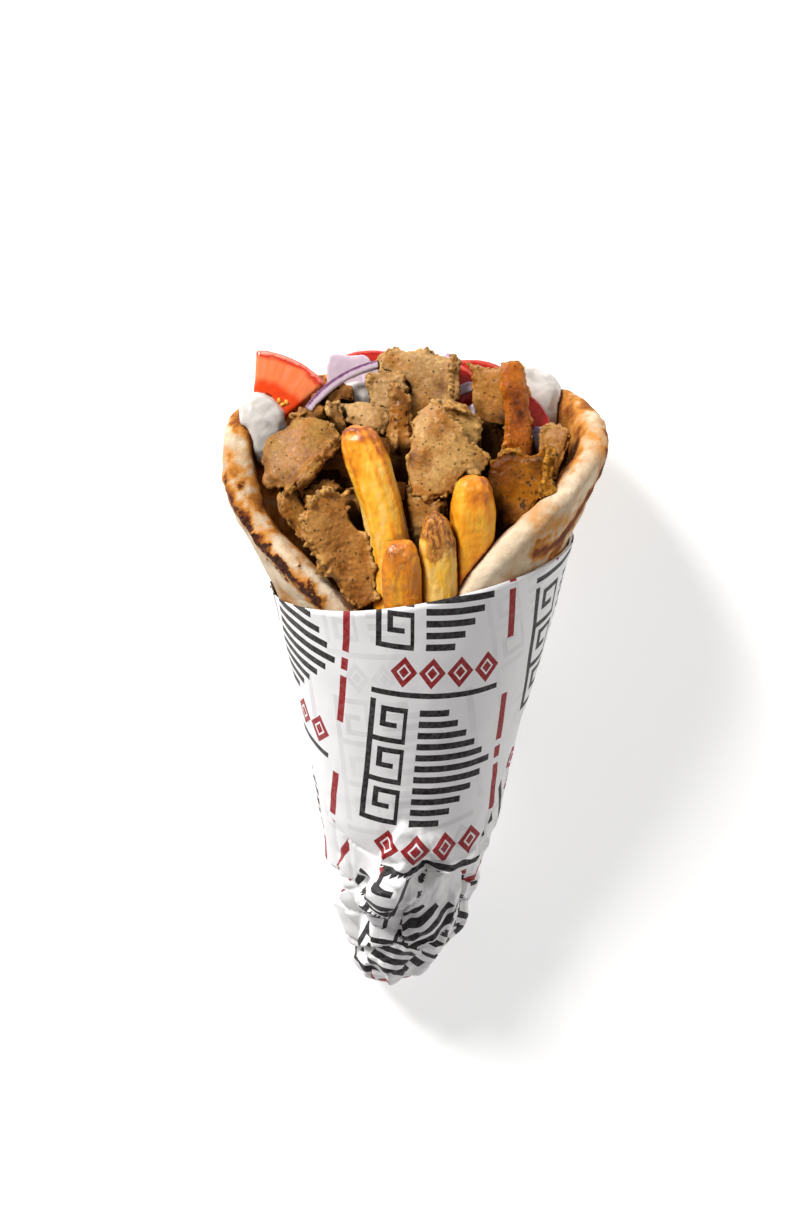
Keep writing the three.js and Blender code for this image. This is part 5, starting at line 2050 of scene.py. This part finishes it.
        # Millimetres round the wrap for each degree, at each point.
        degree = np.radians(1) * along_rows(self.girth, heights)
        drift = Grain(710).layers(np.stack([turns * 0.4, heights, heights * 0], axis=-1).reshape(-1, 3), 7, 2)
        drift = 1.1 * drift.reshape(heights.shape)
        total = np.zeros_like(heights)
        for crease in self.creases:
            strongest = np.zeros_like(heights)
            legs = list(zip(crease.path, crease.path[1:]))
            for start, end in legs:
                over, rise = turned_from(turns, start[0]) * degree, heights - start[1]
                girth = along_rows(self.girth, (start[1] + end[1]) / 2)
                way = np.array([np.radians(turned_from(end[0], start[0])) * girth, end[1] - start[1]])
                long = np.hypot(*way)
                share = (over * way[0] + rise * way[1]) / long**2
                side = (rise * way[0] - over * way[1]) / long + drift
                # A leg runs on into the next one, and fades out at the crease's own ends.
                before = 0 if start is crease.path[0] else 0.5
                after = 0 if end is crease.path[-1] else 0.5
                ends = smooth(share, -0.35 - before, 0.15 - before)
                ends *= smooth(share, 1.35 + after, 0.85 + after)
                profile = np.where(side > 0, bell(side / crease.gentle), bell(side / crease.steep))
                strongest = np.maximum(strongest, profile * ends)
            total += crease.rise * strongest
        for tuft in self.tufts:
            over = turned_from(turns, tuft.angle) * degree / tuft.reach[0]
            apart = np.hypot(over, (heights - tuft.height) / tuft.reach[1]) + 0.12 * drift
            total += tuft.rise * smooth(apart, 1.0, 1.0 - tuft.edge)
        return total

    def folds(self, grid: Grid, crush: Crush) -> np.ndarray:
        """How far the creases, the patches and the soft waves of the sheet push each point out.

        Args:
            grid: the sheet's points.
            crush: its patches.

        Returns:
            Millimetres for each point.
        """
        grain = Grain(700)
        flat = grid.placed(20 + 0.22 * (grid.heights + 131)).reshape(-1, 3)
        crushed = smooth(grid.heights, -55, -95)
        sharp = grain.ridges(flat * np.array([1, 1, 0.6]), 15, 2).reshape(crushed.shape)
        soft = grain.layers(flat * np.array([1, 1, 0.5]), 46, 2).reshape(crushed.shape)
        shaken = self.shaken(grid)
        patch, border = crush.nearest(shaken)
        tilted = np.clip(dots(shaken - crush.middles[patch], crush.tilts[patch]), -1.5, 1.5)
        folded = (tilted - 0.7 * bell(border / 0.9)).reshape(crushed.shape)
        push = 0.7 * soft + crushed * (0.8 * (sharp - 0.45) + folded)
        push += 0.25 * (sharp - 0.5) * (1 - crushed) + self.creased(grid) * np.cos(grid.dips)
        # The pole of the closed foot is drawn in.
        return push * np.cos(grid.dips) ** 0.5 - 2.4 * np.sin(grid.dips)

    def sheet(self, spots: np.ndarray, flat_places: np.ndarray) -> Object:
        """The sheet's mesh, with its map of the flat paper, closed at the pole and given its thickness.

        Args:
            spots: the grid's points, in millimetres.
            flat_places: where each face's corners lie on the flat sheet.

        Returns:
            The piece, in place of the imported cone.
        """
        rows, columns = spots.shape[:2]
        shape = bmesh.new()
        bmesh.ops.create_grid(shape, x_segments=columns - 1, y_segments=rows - 1, size=1)
        flat = shape.loops.layers.uv.new("flat_sheet")
        corners = {
            vertex: (round((1 - vertex.co.y) / 2 * (rows - 1)), round((vertex.co.x + 1) / 2 * (columns - 1)))
            for vertex in shape.verts
        }
        for face in shape.faces:
            top, left = (min(corners[vertex][side] for vertex in face.verts) for side in (0, 1))
            for loop in face.loops:
                row, column = corners[loop.vert]
                loop[flat].uv = flat_places[row - top, column - left, top, left]
        places = lying(spots.reshape(-1, 3)).reshape(spots.shape)
        for vertex, corner in corners.items():
            vertex.co = places[corner]
        bmesh.ops.remove_doubles(shape, verts=shape.verts, dist=1e-7)
        face = shape.faces[:][len(shape.faces) // 2]
        outward = face.calc_center_median() - LAY @ Vector((0, 0, -40 * MM))
        if face.normal.dot(outward) < 0:
            bmesh.ops.reverse_faces(shape, faces=shape.faces)
        piece = shaped("printed_paper", shape)
        piece.data.shade_smooth()
        wall = piece.modifiers.new("thickness", "SOLIDIFY")
        wall.thickness = self.sheet_mm * MM
        wall.offset = -1
        return settle(applied(piece), "paper")


# ---- The studio -----------------------------------------------------------------------------------


@dataclass
class Studio:
    """A white floor, a soft key light from the upper left, a weak fill, and the camera."""

    look_down: float = math.radians(20)
    distance: float = 0.9
    lens_mm: float = 84.0
    floor_size: float = 12.0
    floor_gap: float = 0.3 * MM
    glow: float = 0.28
    # Each light's name, its way from the wrap as the camera sees it, its side in metres and its power.
    lights: tuple[tuple[str, Spot, float, float], ...] = (
        ("key", (-0.9, 1.05, 1.05), 0.5, 40.5),
        ("fill", (0.9, -0.1, 0.9), 1.2, 3.0),
    )

    def build(self) -> None:
        """Lays the floor and sets the lights, the world and the camera."""
        back = Vector((0, -math.cos(self.look_down), math.sin(self.look_down)))
        up = Vector((0, math.sin(self.look_down), math.cos(self.look_down)))
        seat = Matrix((up.cross(back), up, back)).transposed().to_4x4()
        seat.translation = back * self.distance
        data = bpy.data.cameras.new("camera")
        data.lens = self.lens_mm
        data.sensor_width = 36
        data.clip_start = 0.05
        scene = bpy.context.scene
        scene.camera = link("camera", data)
        scene.camera.matrix_world = LAY @ seat
        turn = (LAY @ seat).to_3x3()
        for name, way, size, power in self.lights:
            self.lamp(name, turn @ Vector(way), size, power)
        self.floor()
        world = bpy.data.worlds.new("studio")
        world.use_nodes = True
        feed(world.node_tree.nodes["Background"], {"Color": (1, 1, 1, 1), "Strength": self.glow})
        scene.world = world
        scene.view_settings.view_transform = "Standard"
        scene.view_settings.look = "None"

    def lamp(self, name: str, way: Vector, size: float, power: float) -> None:
        """Sets one large square light, which faces the middle of the wrap.

        Args:
            name: its name.
            way: from the wrap to the light, in metres.
            size: its side, in metres.
            power: its power, in watts.
        """
        data = bpy.data.lights.new(name, "AREA")
        data.size = size
        data.energy = power
        place = Matrix.Translation(LAY.translation + way)
        link(name, data).matrix_world = place @ way.to_track_quat("Z", "Y").to_matrix().to_4x4()

    def floor(self) -> None:
        """Lays the floor under the wrap."""
        shape = bmesh.new()
        bmesh.ops.create_grid(shape, x_segments=4, y_segments=4, size=self.floor_size)
        bmesh.ops.translate(shape, verts=shape.verts, vec=(0, 0, -self.floor_gap))
        piece = shaped("studio_floor", shape)
        piece.data.materials.append(StudioFloor("studio_paper").material())


def main() -> None:
    """Builds the wrap and its studio."""
    logging.basicConfig(level=logging.INFO, format="%(name)s: %(message)s")
    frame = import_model()
    Studio().build()
    crevices = Crevices(frame)
    pieces = [PaperWrap().build(frame)] + Bread().build(frame, crevices)
    shavings = Shavings().build(frame, crevices)
    pieces += shavings
    for food in (MeatHeap(), Chips(), Tomatoes(), Onions(), Sauce()):
        pieces += food.build(frame, crevices)
    pieces += Seasoning().build(shavings)
    for piece in pieces:
        LOG.info("%s: %d vertices", piece.name, len(piece.data.vertices))


if __name__ == "__main__":
    main()
